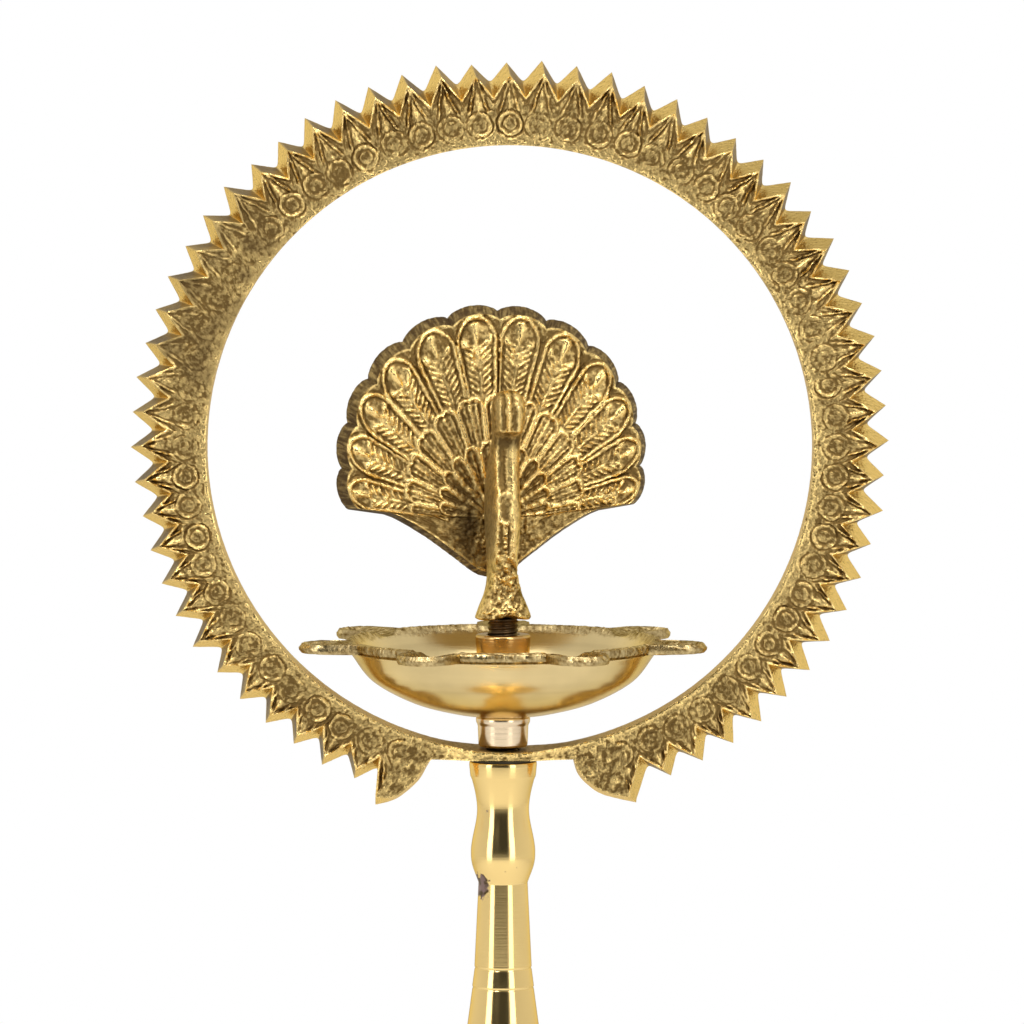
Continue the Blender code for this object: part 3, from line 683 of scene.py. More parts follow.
def ring_sheet(shape):
    """Closed sheet round the band: angle along it, and front, edge, back and hole across it.
    Each row is a share of the way between two edges, and the front is raised by its relief."""
    spans = TOOTH_SPANS * COLUMNS_PER_TOOTH
    angle = np.linspace(-LAST_TOOTH, LAST_TOOTH, spans + 1)
    toothed_edges = (angle, *tooth_outlines(angle, shape.tooth_wander))
    angle, front, back = (np.concatenate([teeth[:-1], lug[:-1]])
                          for teeth, lug in zip(toothed_edges, lug_outlines()))
    toothed = (np.arange(len(angle)) < spans).astype(float)[None, :]
    inner = np.stack(place_on_ring(HOLE_FRONT, angle, HOLE_CENTRE_Z), -1)
    inner_back = np.stack(place_on_ring(HOLE_BACK, angle, HOLE_CENTRE_Z), -1)
    depth = np.where(toothed[0] > 0, BAND_HALF_DEPTH, lug_half_depth(inner[:, 0]))

    # front: rows crowded a little towards both edges
    share = np.linspace(0, 1, FRONT_ROWS)[:, None, None]
    share = share - 0.06 * np.sin(share * math.tau) / math.tau
    flat = inner + (front - inner) * share
    x, z = flat[..., 0], flat[..., 1]
    along, out = np.roll(front, -1, 0) - np.roll(front, 1, 0), front - inner
    lengths = np.linalg.norm(out, axis=1)[None, :]
    slope = np.abs(along[:, 0] * out[:, 1] - along[:, 1] * out[:, 0])
    slope = slope / np.maximum(np.linalg.norm(along, axis=1), 1e-9) / lengths[0]
    edge_gap = (1 - share[..., 0]) * lengths * np.clip(slope, 0.35, 1)[None, :]
    height, bright, dirt = ring_front_relief(angle[None, :], x, z, edge_gap,
                                             share[..., 0] * lengths, toothed, shape)
    face = np.stack([x, -depth[None, :] - height, z], -1)

    # painted light and shade: the flanks of the teeth that look against the clock are painted bright,
    # the others painted brown as if in shade
    rising = np.sin((angle + LAST_TOOTH) / TOOTH_PITCH * math.tau)[None, :] * toothed
    edge = band_rows(front, back, (0.06, 0.35, 0.7, 0.94), -depth, depth,
                     0.70 + 0.55 * ease(-rising, -0.15, 0.25),
                     0.85 * ease(rising, -0.1, 0.3) * toothed)
    rear = band_rows(back, inner_back, (0.0, 0.12, 0.4, 0.7, 0.97), depth, depth, 0.45, 0.25)
    rear[0][..., 1] += shape.casting_grain * rough(rear[0], 0.9 * MM, 2.0)
    # the inside of the hole is darker and browner near its bottom, by the lug
    lowest = ease(np.abs(angle - math.pi), math.radians(26), math.radians(8))[None, :]
    hole = band_rows(inner_back, inner, (0.04, 0.5, 0.96), depth, -depth,
                     0.85 - 0.45 * lowest, 0.15 + 0.3 * lowest)
    points, relief, dirt = (np.concatenate(rows)
                            for rows in zip((face, bright, dirt), edge, rear, hole))
    return {"points": points, "closed": True, "values": {"relief": relief, "dirt": dirt}}


# --- Tail ----------------------------------------------------------------------------------

def fan_reach(turn):
    """Reach of the tail's edge from the feathers' root: a circle with a scallop per feather,
    then a hollow curve in to the point below."""
    upper_turn = np.clip(turn, -FAN_SPREAD, FAN_SPREAD)
    upper = (np.sqrt(FAN_RADIUS ** 2 - (FEATHER_ROOT * np.sin(upper_turn)) ** 2)
             + FEATHER_ROOT * np.cos(upper_turn))
    share = (lean(turn) + FAN_SPREAD) / (2 * FAN_SPREAD) * FEATHERS
    scallop = SCALLOP * (1 - np.abs(np.sin(math.pi * share)) ** SCALLOP_POWER)
    corner = (fan_corner() * math.sin(FAN_SPREAD) / MM,
              fan_corner() * math.cos(FAN_SPREAD) / MM - FEATHER_ROOT / MM)
    side = curve_through((corner, *FAN_SIDE), 12) * MM
    side_turn = np.arctan2(side[:, 0], side[:, 1] + FEATHER_ROOT)
    side_reach = np.hypot(side[:, 0], side[:, 1] + FEATHER_ROOT)
    lower = np.interp(np.abs(turn), side_turn, side_reach)
    return np.where(np.abs(turn) <= FAN_SPREAD, upper - scallop, lower)


def lean(turn):
    """Directions turned back by the feathers' lean, which fades out at the tail's corners."""
    return turn - FEATHER_LEAN * np.clip(np.cos(turn * math.pi / 2 / FAN_SPREAD), 0, 1)


def fan_corner():
    """Reach of the tail's outermost corners."""
    return (math.sqrt(FAN_RADIUS ** 2 - (FEATHER_ROOT * math.sin(FAN_SPREAD)) ** 2)
            + FEATHER_ROOT * math.cos(FAN_SPREAD) - SCALLOP)


def feather_u(offset, radius, tip, half):
    """A long feather with a round end: the way across it, the distance from its outline, and
    how far out a point lies as a share of its half width."""
    across = radius * np.sin(offset)
    cap = tip / (1 + half)
    cap_half = cap * half
    leg = np.abs(np.abs(across) - half * radius)
    end = np.abs(np.hypot(radius - cap, across) - cap_half)
    past = radius > cap
    inside = np.hypot(np.maximum(radius - cap, 0), across) / np.maximum(
        np.where(past, cap_half, half * radius), 1e-6)
    return across, np.where(past, end, leg), inside


def inner_row(offset, radius, top, half, ridge_strength):
    """A row of shorter feathers side by side: where it covers what is under it, and its own
    relief of a rounded outline and three straight ridges."""
    side, _, within = feather_u(offset, radius, top, half)
    outline_gap = feather_u(offset, radius, top - 0.55 * MM, 0.90 * half)[1]
    lip = 0.95 * bump_at(outline_gap, 0, 0.50 * MM) - 0.45 * bump_at(
        outline_gap, 1.0 * MM, 0.40 * MM) * (within < 0.9)
    line = np.abs(side) / (radius * half + 1e-6)
    ridges = bump_at(line, 0, 0.11) + bump_at(line, 0.46, 0.10)
    beaded = 0.8 + 0.2 * np.cos(radius / (1.3 * MM) * math.tau)
    cover = 1 - ease(within, 1.0, 1.16) * (radius > 0.5 * top)
    return cover, lip + ridge_strength * ridges * beaded * (1 - ease(within, 0.70, 0.84))


def fan_relief(turn, radius, reach, shape):
    """Height, brightness and dirt over the tail's front, in three overlapping rows, with a painted
    highlight along the edge and a painted shadow of the bird's body. A feather of the outer row is a
    raised U with a quill, an eye, slanting barbs and short dashes round its tip. The two inner rows
    are rounded outlines over straight ridges."""
    pitch = 2 * FAN_SPREAD / FEATHERS
    half = pitch / 2
    places = np.stack([radius * np.sin(turn), radius * 0, radius * np.cos(turn)], -1)
    push_x, push_z = warp(places, 1.3 * MM, 0.20 * MM, 51.0)
    settled = ease(radius, 2 * MM, 8 * MM)
    turn = lean(turn + settled * push_x / np.maximum(radius, 8 * MM))
    radius = radius + push_z * settled * ease(reach - radius, 0, 0.8 * MM)
    share = radius / reach
    spread = np.clip(turn, -FAN_SPREAD + 1e-4, FAN_SPREAD - 1e-4)
    outer = (np.floor((spread + FAN_SPREAD) / pitch) + 0.5) * pitch - FAN_SPREAD
    shifted = np.round(turn / pitch) * pitch
    off_outer = turn - outer + 0.012 * (2 * per_number(outer / pitch, 21, 3.0) - 1)
    across, border, inside = feather_u(off_outer, radius, reach - 0.65 * MM, 0.88 * half)
    width = radius * half
    in_outer = ease(share, 0.595, 0.615) * (np.abs(turn) < FAN_SPREAD)
    rim = bump_at(border, 0, 0.50 * MM) - 0.55 * bump_at(border, 1.0 * MM, 0.40 * MM)
    quill = bump_at(across, 0, 0.36 * MM) * (1 - ease(share, 0.74, 0.77))
    from_eye = radius - EYE_SHARE * reach
    eye = bump_at(np.hypot(across / (0.70 * MM), from_eye / (1.3 * MM)), 0, 0.8)
    eye_rim = bump_at(np.hypot(across / (1.6 * MM), from_eye / (2.3 * MM)), 1.0, 0.26)
    slant = (radius - 0.85 * np.abs(across)) / (1.70 * MM)
    barb_zone = (ease(np.abs(across), 0.45 * MM, 0.85 * MM) * (1 - ease(inside, 0.68, 0.82))
                 * (1 - ease(share, 0.84, 0.86)))
    barbs = (0.5 + 0.5 * np.cos(slant * math.tau)) ** 2.2 * barb_zone
    ray = np.arctan2(across, radius - 0.82 * reach)
    dash_zone = ease(share, DASH_SHARE, 0.86) * (1 - ease(inside, 0.76, 0.86))
    dashes = (0.5 + 0.5 * np.cos(ray * 7.0)) ** 2.5 * dash_zone
    gap_between = bump_at(np.abs(across) - width, 0, 0.35 * MM) * in_outer
    outer_row = in_outer * (rim + 0.70 * quill + 0.8 * eye + 0.50 * eye_rim
                            + barbs + 1.2 * dashes) - 0.30 * gap_between
    cover_two, row_two = inner_row(turn - shifted, radius, SECOND_ROW_TOP * reach, half, 0.80)
    cover_three, row_three = inner_row(turn - outer, radius, THIRD_ROW_TOP * reach, half, 0.25)
    pattern = outer_row * (1 - cover_two) + row_two * cover_two * (1 - cover_three) \
        + row_three * cover_three
    near = 1 - ease(radius, 9 * MM, 16 * MM)
    dimples = np.clip(rough(places, 1.3 * MM, 4.0), -1, 0.4)
    below = ease(np.abs(turn), FAN_SPREAD, FAN_SPREAD + 0.10)
    pattern = pattern * (1 - 0.7 * below) * (1 - 0.5 * near)
    texture = rough(places, 0.85 * MM, 1.0) + 0.6 * rough(places, 0.4 * MM, 17.0)
    soften = 0.75 + 0.35 * np.clip(rough(places, 5 * MM, 8.0), -1, 1)
    pattern = pattern * soften
    step = 0.16 * MM * cover_two + 0.16 * MM * cover_three
    height = (shape.fan_relief * pattern + step + shape.casting_grain * 0.9 * texture
              + 0.36 * MM * dimples * (0.25 + near + 0.6 * below + 0.6 * cover_three))
    edge_gap = reach - radius
    # painted highlight along the tail's edge
    rim_light = bump_at(edge_gap, 0.2 * MM, 0.35 * MM)
    bright = 0.17 + 0.78 * pattern + 0.20 * texture + 0.45 * rim_light + 0.20 * dimples
    px, pz = radius * np.sin(turn), radius * np.cos(turn) - FEATHER_ROOT
    # painted shadow of the bird's body on the tail, to its left and low down, carried as dirt
    shadowed = bump_at(np.hypot((px + 7.2 * MM) / (4.4 * MM), (pz + 15.5 * MM) / (8.5 * MM)), 0, 1)
    dirt = 0.75 * shadowed + 0.22 * np.clip(rough(places, 6 * MM, 5.0), 0, 1) + 0.15 * below
    return height, bright, dirt


def fan_edge(front, full, turn, share, y, scale=1.0):
    """Outline at a share of the way from the front edge to the full one, with file marks."""
    x, z = (front + (full - front) * share) * scale
    spot = np.stack([x, np.full(x.shape, y), z + FAN_CENTRE_Z], -1)
    marks = 0.10 * MM * rough(spot * FILED_ALONG, 0.6 * MM, 3.0)
    spot[:, 0] += marks * np.sin(turn)
    spot[:, 2] += marks * np.cos(turn)
    return spot


def fan_sheet(shape):
    """Front as a polar grid about the feathers' root, then the drafted edge and the back."""
    upper = np.linspace(-FAN_SPREAD, FAN_SPREAD, FEATHERS * COLUMNS_PER_FEATHER + 1)
    lower = np.linspace(FAN_SPREAD, math.tau - FAN_SPREAD, LOWER_COLUMNS)[1:-1]
    turn = np.concatenate([upper, np.where(lower > math.pi, lower - math.tau, lower)])
    reach = fan_reach(turn)
    # the front outline is drawn in about the circle's centre by the draft
    full = np.stack([reach * np.sin(turn), reach * np.cos(turn) - FEATHER_ROOT])
    front = (1 - FAN_DRAFT / FAN_RADIUS) * full
    front_reach = np.hypot(front[0], front[1] + FEATHER_ROOT)
    front_turn = np.arctan2(front[0], front[1] + FEATHER_ROOT)
    radius = np.linspace(0, 1, FAN_ROWS)[:, None] * front_reach[None, :]
    spread = np.broadcast_to(front_turn[None, :], radius.shape)
    height, bright, dirt = fan_relief(spread, radius, np.broadcast_to(front_reach, radius.shape),
                                      shape)
    height = height * ease(front_reach[None, :] - radius, -0.1 * MM, 0.3 * MM)
    height[0] = height[0].mean()
    face = np.stack([radius * np.sin(spread), FAN_FRONT_Y - height,
                     radius * np.cos(spread) - FEATHER_ROOT + FAN_CENTRE_Z], -1)
    back_y = FAN_FRONT_Y + FAN_THICKNESS
    edge = np.stack([fan_edge(front, full, turn, *place) for place in (
        (0.08, FAN_FRONT_Y + 0.25 * MM), (0.45, FAN_FRONT_Y + 1.9 * MM), (0.88, back_y - 0.9 * MM),
        (1.0, back_y - 0.25 * MM), (1.0, back_y, 0.994))])
    shrink = np.array([0.8, 0.6, 0.4, 0.2, 0.08, 0.0])
    rear = np.stack([fan_edge(front, full, turn, 1.0, back_y, scale) for scale in shrink])
    rear[..., 1] += 0.10 * MM * rough(rear, 2.2 * MM, 6.0) * (shrink[:, None] > 0)
    filed = 0.45 * rough(edge * FILED_ALONG, 0.5 * MM, 8.0)
    plain = np.ones(rear.shape[:2])
    return {"points": np.concatenate([face, edge, rear]), "closed": False,
            "values": {"relief": np.concatenate([bright, 0.30 + filed, 0.40 * plain]),
                       "dirt": np.concatenate([dirt, 0.86 - filed, 0.35 * plain])}}


# --- Bird ----------------------------------------------------------------------------------

BIRD_STEPS = 128
BIRD_SECTIONS = np.array([
    # height, reach to the front, reach to the back, half width, squareness
    [307.4, 6.6, 6.6, 6.9, 2.0], [307.9, 7.5, 7.5, 7.5, 2.0], [309.0, 7.3, 7.3, 7.2, 2.0],
    [311.0, 6.7, 6.8, 6.4, 2.2], [313.5, 6.1, 6.1, 5.3, 2.4], [316.0, 6.1, 6.6, 4.4, 2.6],
    [318.5, 6.7, 8.2, 3.8, 2.6], [320.5, 7.4, 10.2, 3.4, 2.6], [323.5, 8.4, 11.3, 3.4, 2.6],
    [327.0, 9.3, 11.6, 3.6, 2.6], [331.0, 9.9, 11.7, 3.8, 2.7], [336.0, 10.3, 11.7, 4.0, 2.8],
    [340.0, 10.1, 11.6, 3.9, 2.8], [344.0, 9.4, 11.2, 3.8, 2.7], [348.0, 8.7, 8.0, 3.7, 2.5],
    [352.0, 8.5, 4.0, 3.7, 2.4], [355.5, 9.2, 1.6, 3.7, 2.2], [357.6, 10.6, 0.8, 3.8, 2.1],
    [359.0, 12.2, 0.4, 4.0, 2.1], [361.5, 12.9, -0.2, 4.3, 2.1], [364.5, 12.8, -0.9, 4.4, 2.2],
    [367.0, 11.9, -2.2, 4.0, 2.2], [368.6, 10.4, -3.8, 3.0, 2.1], [369.3, 8.6, -5.6, 1.6, 2.0]])


def bird_relief(x, z, front_share):
    """Front of the bird, drawn in mm: a ridge down the face over a rounded beak, a groove between two
    bands down the neck, a flat oval on the breast and a column of beads under it."""
    xm, zm = x / MM, z / MM
    places = np.stack([x, x * 0, z], -1)
    push, lift = warp(places, 1.1 * MM, 0.28, 61.0)
    xm, zm = xm + push, zm + lift
    face = ease(zm, 357.8, 359.2)
    ridge = (1.1 * bump_at(xm, -1.0, 0.50) - 0.7 * bump_at(xm, -2.3, 0.60)
             - 0.6 * bump_at(xm, 0.5, 0.65) + 0.4 * bump_at(xm, 1.9, 0.8)) * face
    beak = bump_at(zm, 358.7, 0.55) * bump_at(xm, -0.4, 2.6)
    throat = -0.9 * bump_at(zm, 355.6, 1.7)
    neck = ease(zm, 342, 343.5) * (1 - ease(zm, 353.5, 355))
    groove = -neck * bump_at(xm, -1.9, 0.85)
    beads_in_groove = neck * 0.5 * bump_at(xm, -1.4, 0.35) * np.cos(zm / 1.3 * math.tau)
    trunk = ease(zm, 322, 324) * (1 - ease(zm, 356, 357.5))
    left_line = 0.9 * bump_at(xm, -3.05, 0.35) * trunk
    right_strip = 0.55 * bump_at(xm, 1.0, 1.0) * trunk
    oval = np.hypot((xm + 1.5) / 1.75, (zm - 338.0) / 3.6)
    breast = -0.30 * (1 - ease(oval, 0.85, 1.05)) + 0.45 * bump_at(oval, 1.15, 0.16)
    beads_zone = ease(zm, 324.7, 325.4) * (1 - ease(zm, 333.4, 334.1))
    beads = beads_zone * bump_at(xm, -1.4, 0.55) * np.cos(zm / 1.25 * math.tau) * 0.45
    seams = -0.75 * beads_zone * (bump_at(xm, -2.3, 0.45) + bump_at(xm, -0.4, 0.50))
    skirt = (1 - ease(zm, 323, 328)) * 0.85 * rough(places, 0.8 * MM, 3.0)
    pattern = (ridge + beak + throat + groove + beads_in_groove + left_line + right_strip
               + breast + beads + seams + skirt)
    return pattern * front_share * 0.70 * MM, pattern * front_share


def bird_sheet():
    """Oval sections stacked up the bird: each a superellipse between its front and back
    reaches, carried smoothly from one height to the next and raised by the relief."""
    sections = curve_through(BIRD_SECTIONS, 9)
    z, front, back, half_width, power = (sections[:, i:i + 1] for i in range(5))
    z, front, back, half_width = (value * MM for value in (z, front, back, half_width))
    turn = np.linspace(0, math.tau, BIRD_STEPS, endpoint=False)[None, :]
    cosine, sine = np.cos(turn), np.sin(turn)
    middle, half_depth = (back - front) / 2, (back + front) / 2
    x = half_width * np.sign(cosine) * np.abs(cosine) ** (2 / power)
    y = middle + half_depth * np.sign(sine) * np.abs(sine) ** (2 / power)
    z = np.repeat(z, turn.shape[1], axis=1)
    front_share = ease(-sine, 0.05, 0.6) * np.ones_like(z)
    height, pattern = bird_relief(x, z, front_share)
    spots = np.stack([x, y, z], -1)
    texture = rough(spots, 1.0 * MM, 2.0) + 0.8 * rough(spots, 0.45 * MM, 5.0)
    calm = 1 - 0.6 * ease(-x, 2.6 * MM, 3.4 * MM) * (z > 0.322)
    swell = height + 0.10 * MM * texture * calm
    y = y - swell * np.clip(-sine, 0, 1)
    x = x + 0.6 * swell * cosine
    # the foot is hollowed in an arch over the rod
    lift = 1.3 * MM * np.clip(-sine, 0, 1) * bump_at(x, 0.4 * MM, 3.4 * MM)
    z = z + lift * (1 - ease(z, 0.3078, 0.3115))
    bright = 0.36 + 0.55 * pattern + 0.26 * texture * calm
    # painted shade down the bird's left flank
    flank = ease(-x, 3.0 * MM, 3.7 * MM) * ease(z, 0.320, 0.326)
    # painted shadow under the beak, plus the painted flank shade, carried as dirt
    dirt = 0.55 * bump_at(z, 0.3556, 1.6 * MM) * front_share + 0.45 * flank
    foot = cap_row(y[0].mean(), z[:1].mean(), BIRD_STEPS)
    crown = cap_row(y[-1].mean(), z[-1:].mean() + 0.15 * MM, BIRD_STEPS)
    return {"points": np.concatenate([foot, np.stack([x, y, z], -1), crown]), "closed": False,
            "values": {"relief": np.concatenate([bright[:1], bright, bright[-1:]]),
                       "dirt": np.concatenate([dirt[:1], dirt, dirt[-1:]])}}


# --- Oil pan -------------------------------------------------------------------------------

SPOUTS = 7
PAN_RIM_TOP = 302.0 * MM
PAN_RIM_RADIUS = 42.3 * MM
SPOUT_REACH = 55.8 * MM
SPOUT_HALF = 7.2 * MM
SPOUT_PITCH = math.tau / SPOUTS
COLUMNS_PER_SPOUT, RIM_ROWS = 84, 24
RIM_START = 40.4 * MM
GUTTER_HALF, GUTTER_DEPTH = 4.6 * MM, 1.25 * MM
# radius and height in mm, up the inside and down the outside
PAN_INSIDE = ((4.5, 284.2), (9.0, 284.25), (15.0, 284.9), (27.0, 289.1), (35.0, 294.6),
              (39.3, 300.4))
PAN_OUTSIDE = ((41.6, 299.2), (40.5, 297.8), (35.0, 290.9), (24.5, 285.2), (13.5, 282.2),
               (8.0, 281.6), (4.5, 281.6))
UNDER_RIM = np.array([300.2, 299.5, 299.25])[:, None] * MM


def pan_edge(angle):
    """Distance of the pan's edge: the rim's circle, or the side and round end of a spout."""
    off = np.abs(np.mod(angle - math.pi / 2 + SPOUT_PITCH / 2, SPOUT_PITCH) - SPOUT_PITCH / 2)
    centre = SPOUT_REACH - SPOUT_HALF
    side = centre * np.sin(off)
    tip = centre * np.cos(off) + np.sqrt(np.clip(SPOUT_HALF ** 2 - side ** 2, 0, None))
    flank = SPOUT_HALF / np.maximum(np.sin(off), 0.05)
    reach = np.where(side < SPOUT_HALF, tip, flank)
    return np.maximum(reach, PAN_RIM_RADIUS), off


def pan_sheet():
    """Polar grid of the pan: up the inside, out over the rim and the spouts' gutters, and
    back down the outside, with raised rough lips along the edges."""
    local = np.linspace(-0.5, 0.5, COLUMNS_PER_SPOUT, endpoint=False)
    local = local - 0.045 * np.sin(local * math.tau * 2)
    spouts = np.arange(SPOUTS)[:, None]
    turn = (math.pi / 2 + SPOUT_PITCH * (spouts + local[None, :])).reshape(-1)
    edge, off = pan_edge(turn)
    edge = edge + 0.35 * MM * rough(around(edge, turn, 0.0), 3 * MM, 4.0)
    share = np.concatenate([np.linspace(0, 0.94, RIM_ROWS), [0.975, 1.0]])[:, None]
    radius = RIM_START + (edge[None, :] - RIM_START) * share
    side, edge_gap = radius * np.sin(off)[None, :], edge[None, :] - radius
    gutter = (1 - np.clip(side / GUTTER_HALF, 0, 1) ** 2) * ease(edge_gap, 0.6 * MM, 3.0 * MM)
    inner_lip = bump_at(radius, RIM_START + 0.5 * MM, 0.6 * MM) * (
        1 - np.clip(gutter * 1.4, 0, 1))
    spout_side = bump_at(side, 5.6 * MM, 0.9 * MM) * ease(radius, 42.5 * MM, 44 * MM)
    lip = np.maximum(bump_at(edge_gap, 0.95 * MM, 0.75 * MM), spout_side)
    spot = around(radius, turn, 0.0)
    texture = 0.5 * rough(spot, 0.9 * MM, 3.0) + rough(spot, 0.40 * MM, 8.0)
    top = (PAN_RIM_TOP - 0.35 * MM + 0.42 * MM * lip + 0.2 * MM * inner_lip
           - GUTTER_DEPTH * gutter + 0.13 * MM * texture)
    rim = around(radius, turn, top - ease(share, 0.93, 1.0) * 0.9 * MM)
    under = around(np.stack([edge - 0.1 * MM, edge - 0.7 * MM,
                             edge - (edge - 41.9 * MM) * 0.5]), turn, UNDER_RIM)
    under[..., 2] += 0.12 * MM * rough(under, 1.2 * MM, 5.0)
    inner = revolve(curve_through(PAN_INSIDE, 9) * MM, turn)
    outer = revolve(curve_through(PAN_OUTSIDE, 7) * MM, turn)
    beside_spout = bump_at(off, math.radians(10), math.radians(4))
    teeth = (0.5 + 0.5 * np.sin(turn * 91) * beside_spout)[None, :]
    climb = np.linspace(0, 1, len(inner))[:, None]
    ragged = np.clip(0.3 + rough(inner, 1.6 * MM, 6.0), 0, 1)
    outer_dirt = np.zeros(outer.shape[:2])
    outer_dirt[:2] = [[0.6], [0.2]]
    dirt = [0.45 * ease(climb, 0.95, 1.0) * (0.5 * teeth + ragged),
            0.62 + 0.65 * texture - 0.25 * lip,
            0.50 + 0.4 * rough(under, 0.6 * MM, 7.0), outer_dirt]
    return {"points": np.concatenate([inner, rim, under, outer]), "closed": True,
            "values": {"dirt": np.concatenate(dirt)}}


# --- Threads and nut -----------------------------------------------------------------------

def thread_wave(z, turn, low, high, fade_length):
    """Triangle wave of the height less the climb of one turn, and how full it is: it fades
    to nothing at both ends."""
    wave = np.abs(2 * np.mod((z - THREAD_PITCH * turn / math.tau) / THREAD_PITCH, 1) - 1)
    return wave, ease(np.minimum(z - low, high - z), 0.0, fade_length)


def thread_sheet(radius, low, high):
    """Rod with a thread: its radius falls by the thread's wave, and fades to a plain end."""
    rows = int((high - low) / THREAD_PITCH * ROWS_PER_THREAD) + 1
    turn = np.linspace(0, math.tau, ROD_STEPS, endpoint=False)[None, :]
    z = np.linspace(low, high, rows)[:, None]
    wave, full = thread_wave(z, turn, low, high, 0.8 * MM)
    tube = around(radius - 0.55 * MM * wave * full - 0.5 * MM * (1 - full), turn, z)
    caps = [cap_row(0.0, end, ROD_STEPS) for end in (low, high)]
    return {"points": np.concatenate([caps[0], tube, caps[1]]), "closed": False}


def nut_sheet(low, high, across_flats, bore):
    """Hexagon nut: its reach is half the width over the cosine of the angle from a flat, cut
    by a cone at each end, round a threaded bore."""
    turn = np.linspace(0, math.tau, NUT_STEPS, endpoint=False)[None, :]
    sector = math.tau / 6
    flat = across_flats / 2 / np.cos(np.mod(turn, sector) - sector / 2)
    height = np.array([0, 0.03, 0.10, 0.2, 0.5, 0.8, 0.90, 0.97, 1.0])[:, None]
    cone = across_flats / 2 * (0.955 + np.minimum(height, 1 - height) * 1.9)
    outer = around(np.minimum(flat, cone), turn, low + (high - low) * height)
    z = np.linspace(high, low, NUT_BORE_ROWS)[:, None]
    wave, full = thread_wave(z, turn, low, high, 0.5 * MM)
    inner = around(bore + 0.30 * MM * wave * full + 0.3 * MM * (1 - full), turn, z)
    return {"points": np.concatenate([outer, inner]), "closed": True}


# --- Operators -----------------------------------------------------------------------------

class LampOperator:
    """What the lamp's operators share: they run once, and can be undone."""
    bl_options = {"REGISTER", "UNDO"}


class FootOperator(LampOperator, bpy.types.Operator):
    """Add the foot: a polished dish in steps over a hollow, as one revolved profile"""
    bl_idname = "mesh.oil_lamp_foot"
    bl_label = "Foot"

    def execute(self, context):
        profile = bored(
            50.5, 54.0, [(15.0, 54.0)],
            ((15.8, 50.5), (18.0, 45.5), (24.5, 37.5), (34.0, 32.0), (44.0, 30.0)),
            [(46.5, 29.2), (47.8, 27.2), (46.6, 25.2)],
            ((50.0, 24.0), (58.5, 20.5), (65.0, 15.0), (68.5, 9.5)),
            [(71.5, 8.5), (75.0, 7.0), (75.0, 0.0), (69.5, 0.0), (68.5, 4.0)],
            ((64.0, 9.0), (60.5, 14.0), (55.5, 17.5), (44.0, 22.5)),
            [(33.0, 28.2), (22.5, 33.5), (15.0, 42.0), (12.5, 50.5)], radius=0.4 * MM)
        material = polished_brass(context.scene.lamp_finish, "foot_brass")
        turned_piece(context, "foot_polished", profile, material, "stand",
                     "foot")
        return {"FINISHED"}


class StemOperator(LampOperator, bpy.types.Operator):
    """Add the stem's four turned lengths, each a revolved profile of curves and fine beads"""
    bl_idname = "mesh.oil_lamp_stem"
    bl_label = "Stem"

    def execute(self, context):
        finish = context.scene.lamp_finish
        plain = polished_brass(finish, "stem_brass")
        chipped = polished_brass(finish, "upper_stem_brass", STEM_CHIP)
        neck = bored(54.3, 66.0, [(10.5, 66.0), (10.8, 64.5)],
                     ((12.0, 63.0), (16.5, 61.0), (17.2, 59.4), (16.0, 57.6)),
                     [(13.5, 56.5), (14.0, 54.3)])
        lower = bored(66.3, 148.0, [(10.0, 148.0), (10.5, 145.5)],
                      ((12.2, 144.0), (12.2, 141.5), (9.0, 139.5), (8.0, 135.0), (8.6, 125.0),
                       (11.2, 113.0), (14.6, 100.0), (14.2, 91.0), (10.0, 82.0)),
                      [(12.8, 80.0)], ((12.8, 80.0), (13.6, 78.0), (12.8, 75.8)),
                      [(10.6, 74.0), (11.8, 66.3)])
        knop = bored(148.3, 167.0, [(11.2, 167.0), (11.2, 165.0)],
                     ((12.5, 163.5), (16.0, 160.8), (17.2, 157.7), (16.0, 154.6),
                      (12.5, 152.0)),
                     [(11.2, 150.3), (11.2, 148.3)])
        upper = bored(167.3, 269.1, [(9.0, 269.1), (9.1, 268.3), (8.8, 265.2), (8.6, 264.8)],
                      ((8.3, 264.0), (7.5, 260.7), (7.0, 257.0), (7.2, 253.5), (8.3, 248.0),
                       (8.65, 244.6), (8.3, 241.2), (6.8, 237.0)),
                      [(6.6, 236.4), (7.7, 213.8), (7.5, 213.4), (7.7, 213.0), (8.3, 208.5),
                       (8.1, 208.1), (8.3, 207.7), (9.6, 198.0), (12.2, 181.0),
                       (11.4, 179.5)],
                      ((12.0, 178.5), (15.0, 176.8), (15.6, 174.5), (14.6, 172.2)),
                      [(11.6, 170.3), (12.0, 167.3)], radius=0.2 * MM)
        for name, profile, material, body, node in (
                ("neck_polished", neck, plain, "stand", "stem_neck"),
                ("lower_stem_polished", lower, plain, "stand", "lower_stem"),
                ("knop_polished", knop, plain, "stand", "stem_knop"),
                ("upper_stem_polished", upper, chipped, "upper_stem", "upper_stem")):
            turned_piece(context, name, profile, material, body, node)
        return {"FINISHED"}


class RingOperator(LampOperator, bpy.types.Operator):
    """Add the toothed ring: front, edges and back as one closed band, drilled at the lug"""
    bl_idname = "mesh.oil_lamp_ring"
    bl_label = "Toothed ring"

    def execute(self, context):
        material = cast_brass(context.scene.lamp_finish, "ring_brass")
        skin("ring_toothed", ring_sheet(context.scene.lamp_shape), material, "ring",
             ["halo_ring"], 42, (ROD_HOLE, *LUG_DRILLED))
        return {"FINISHED"}


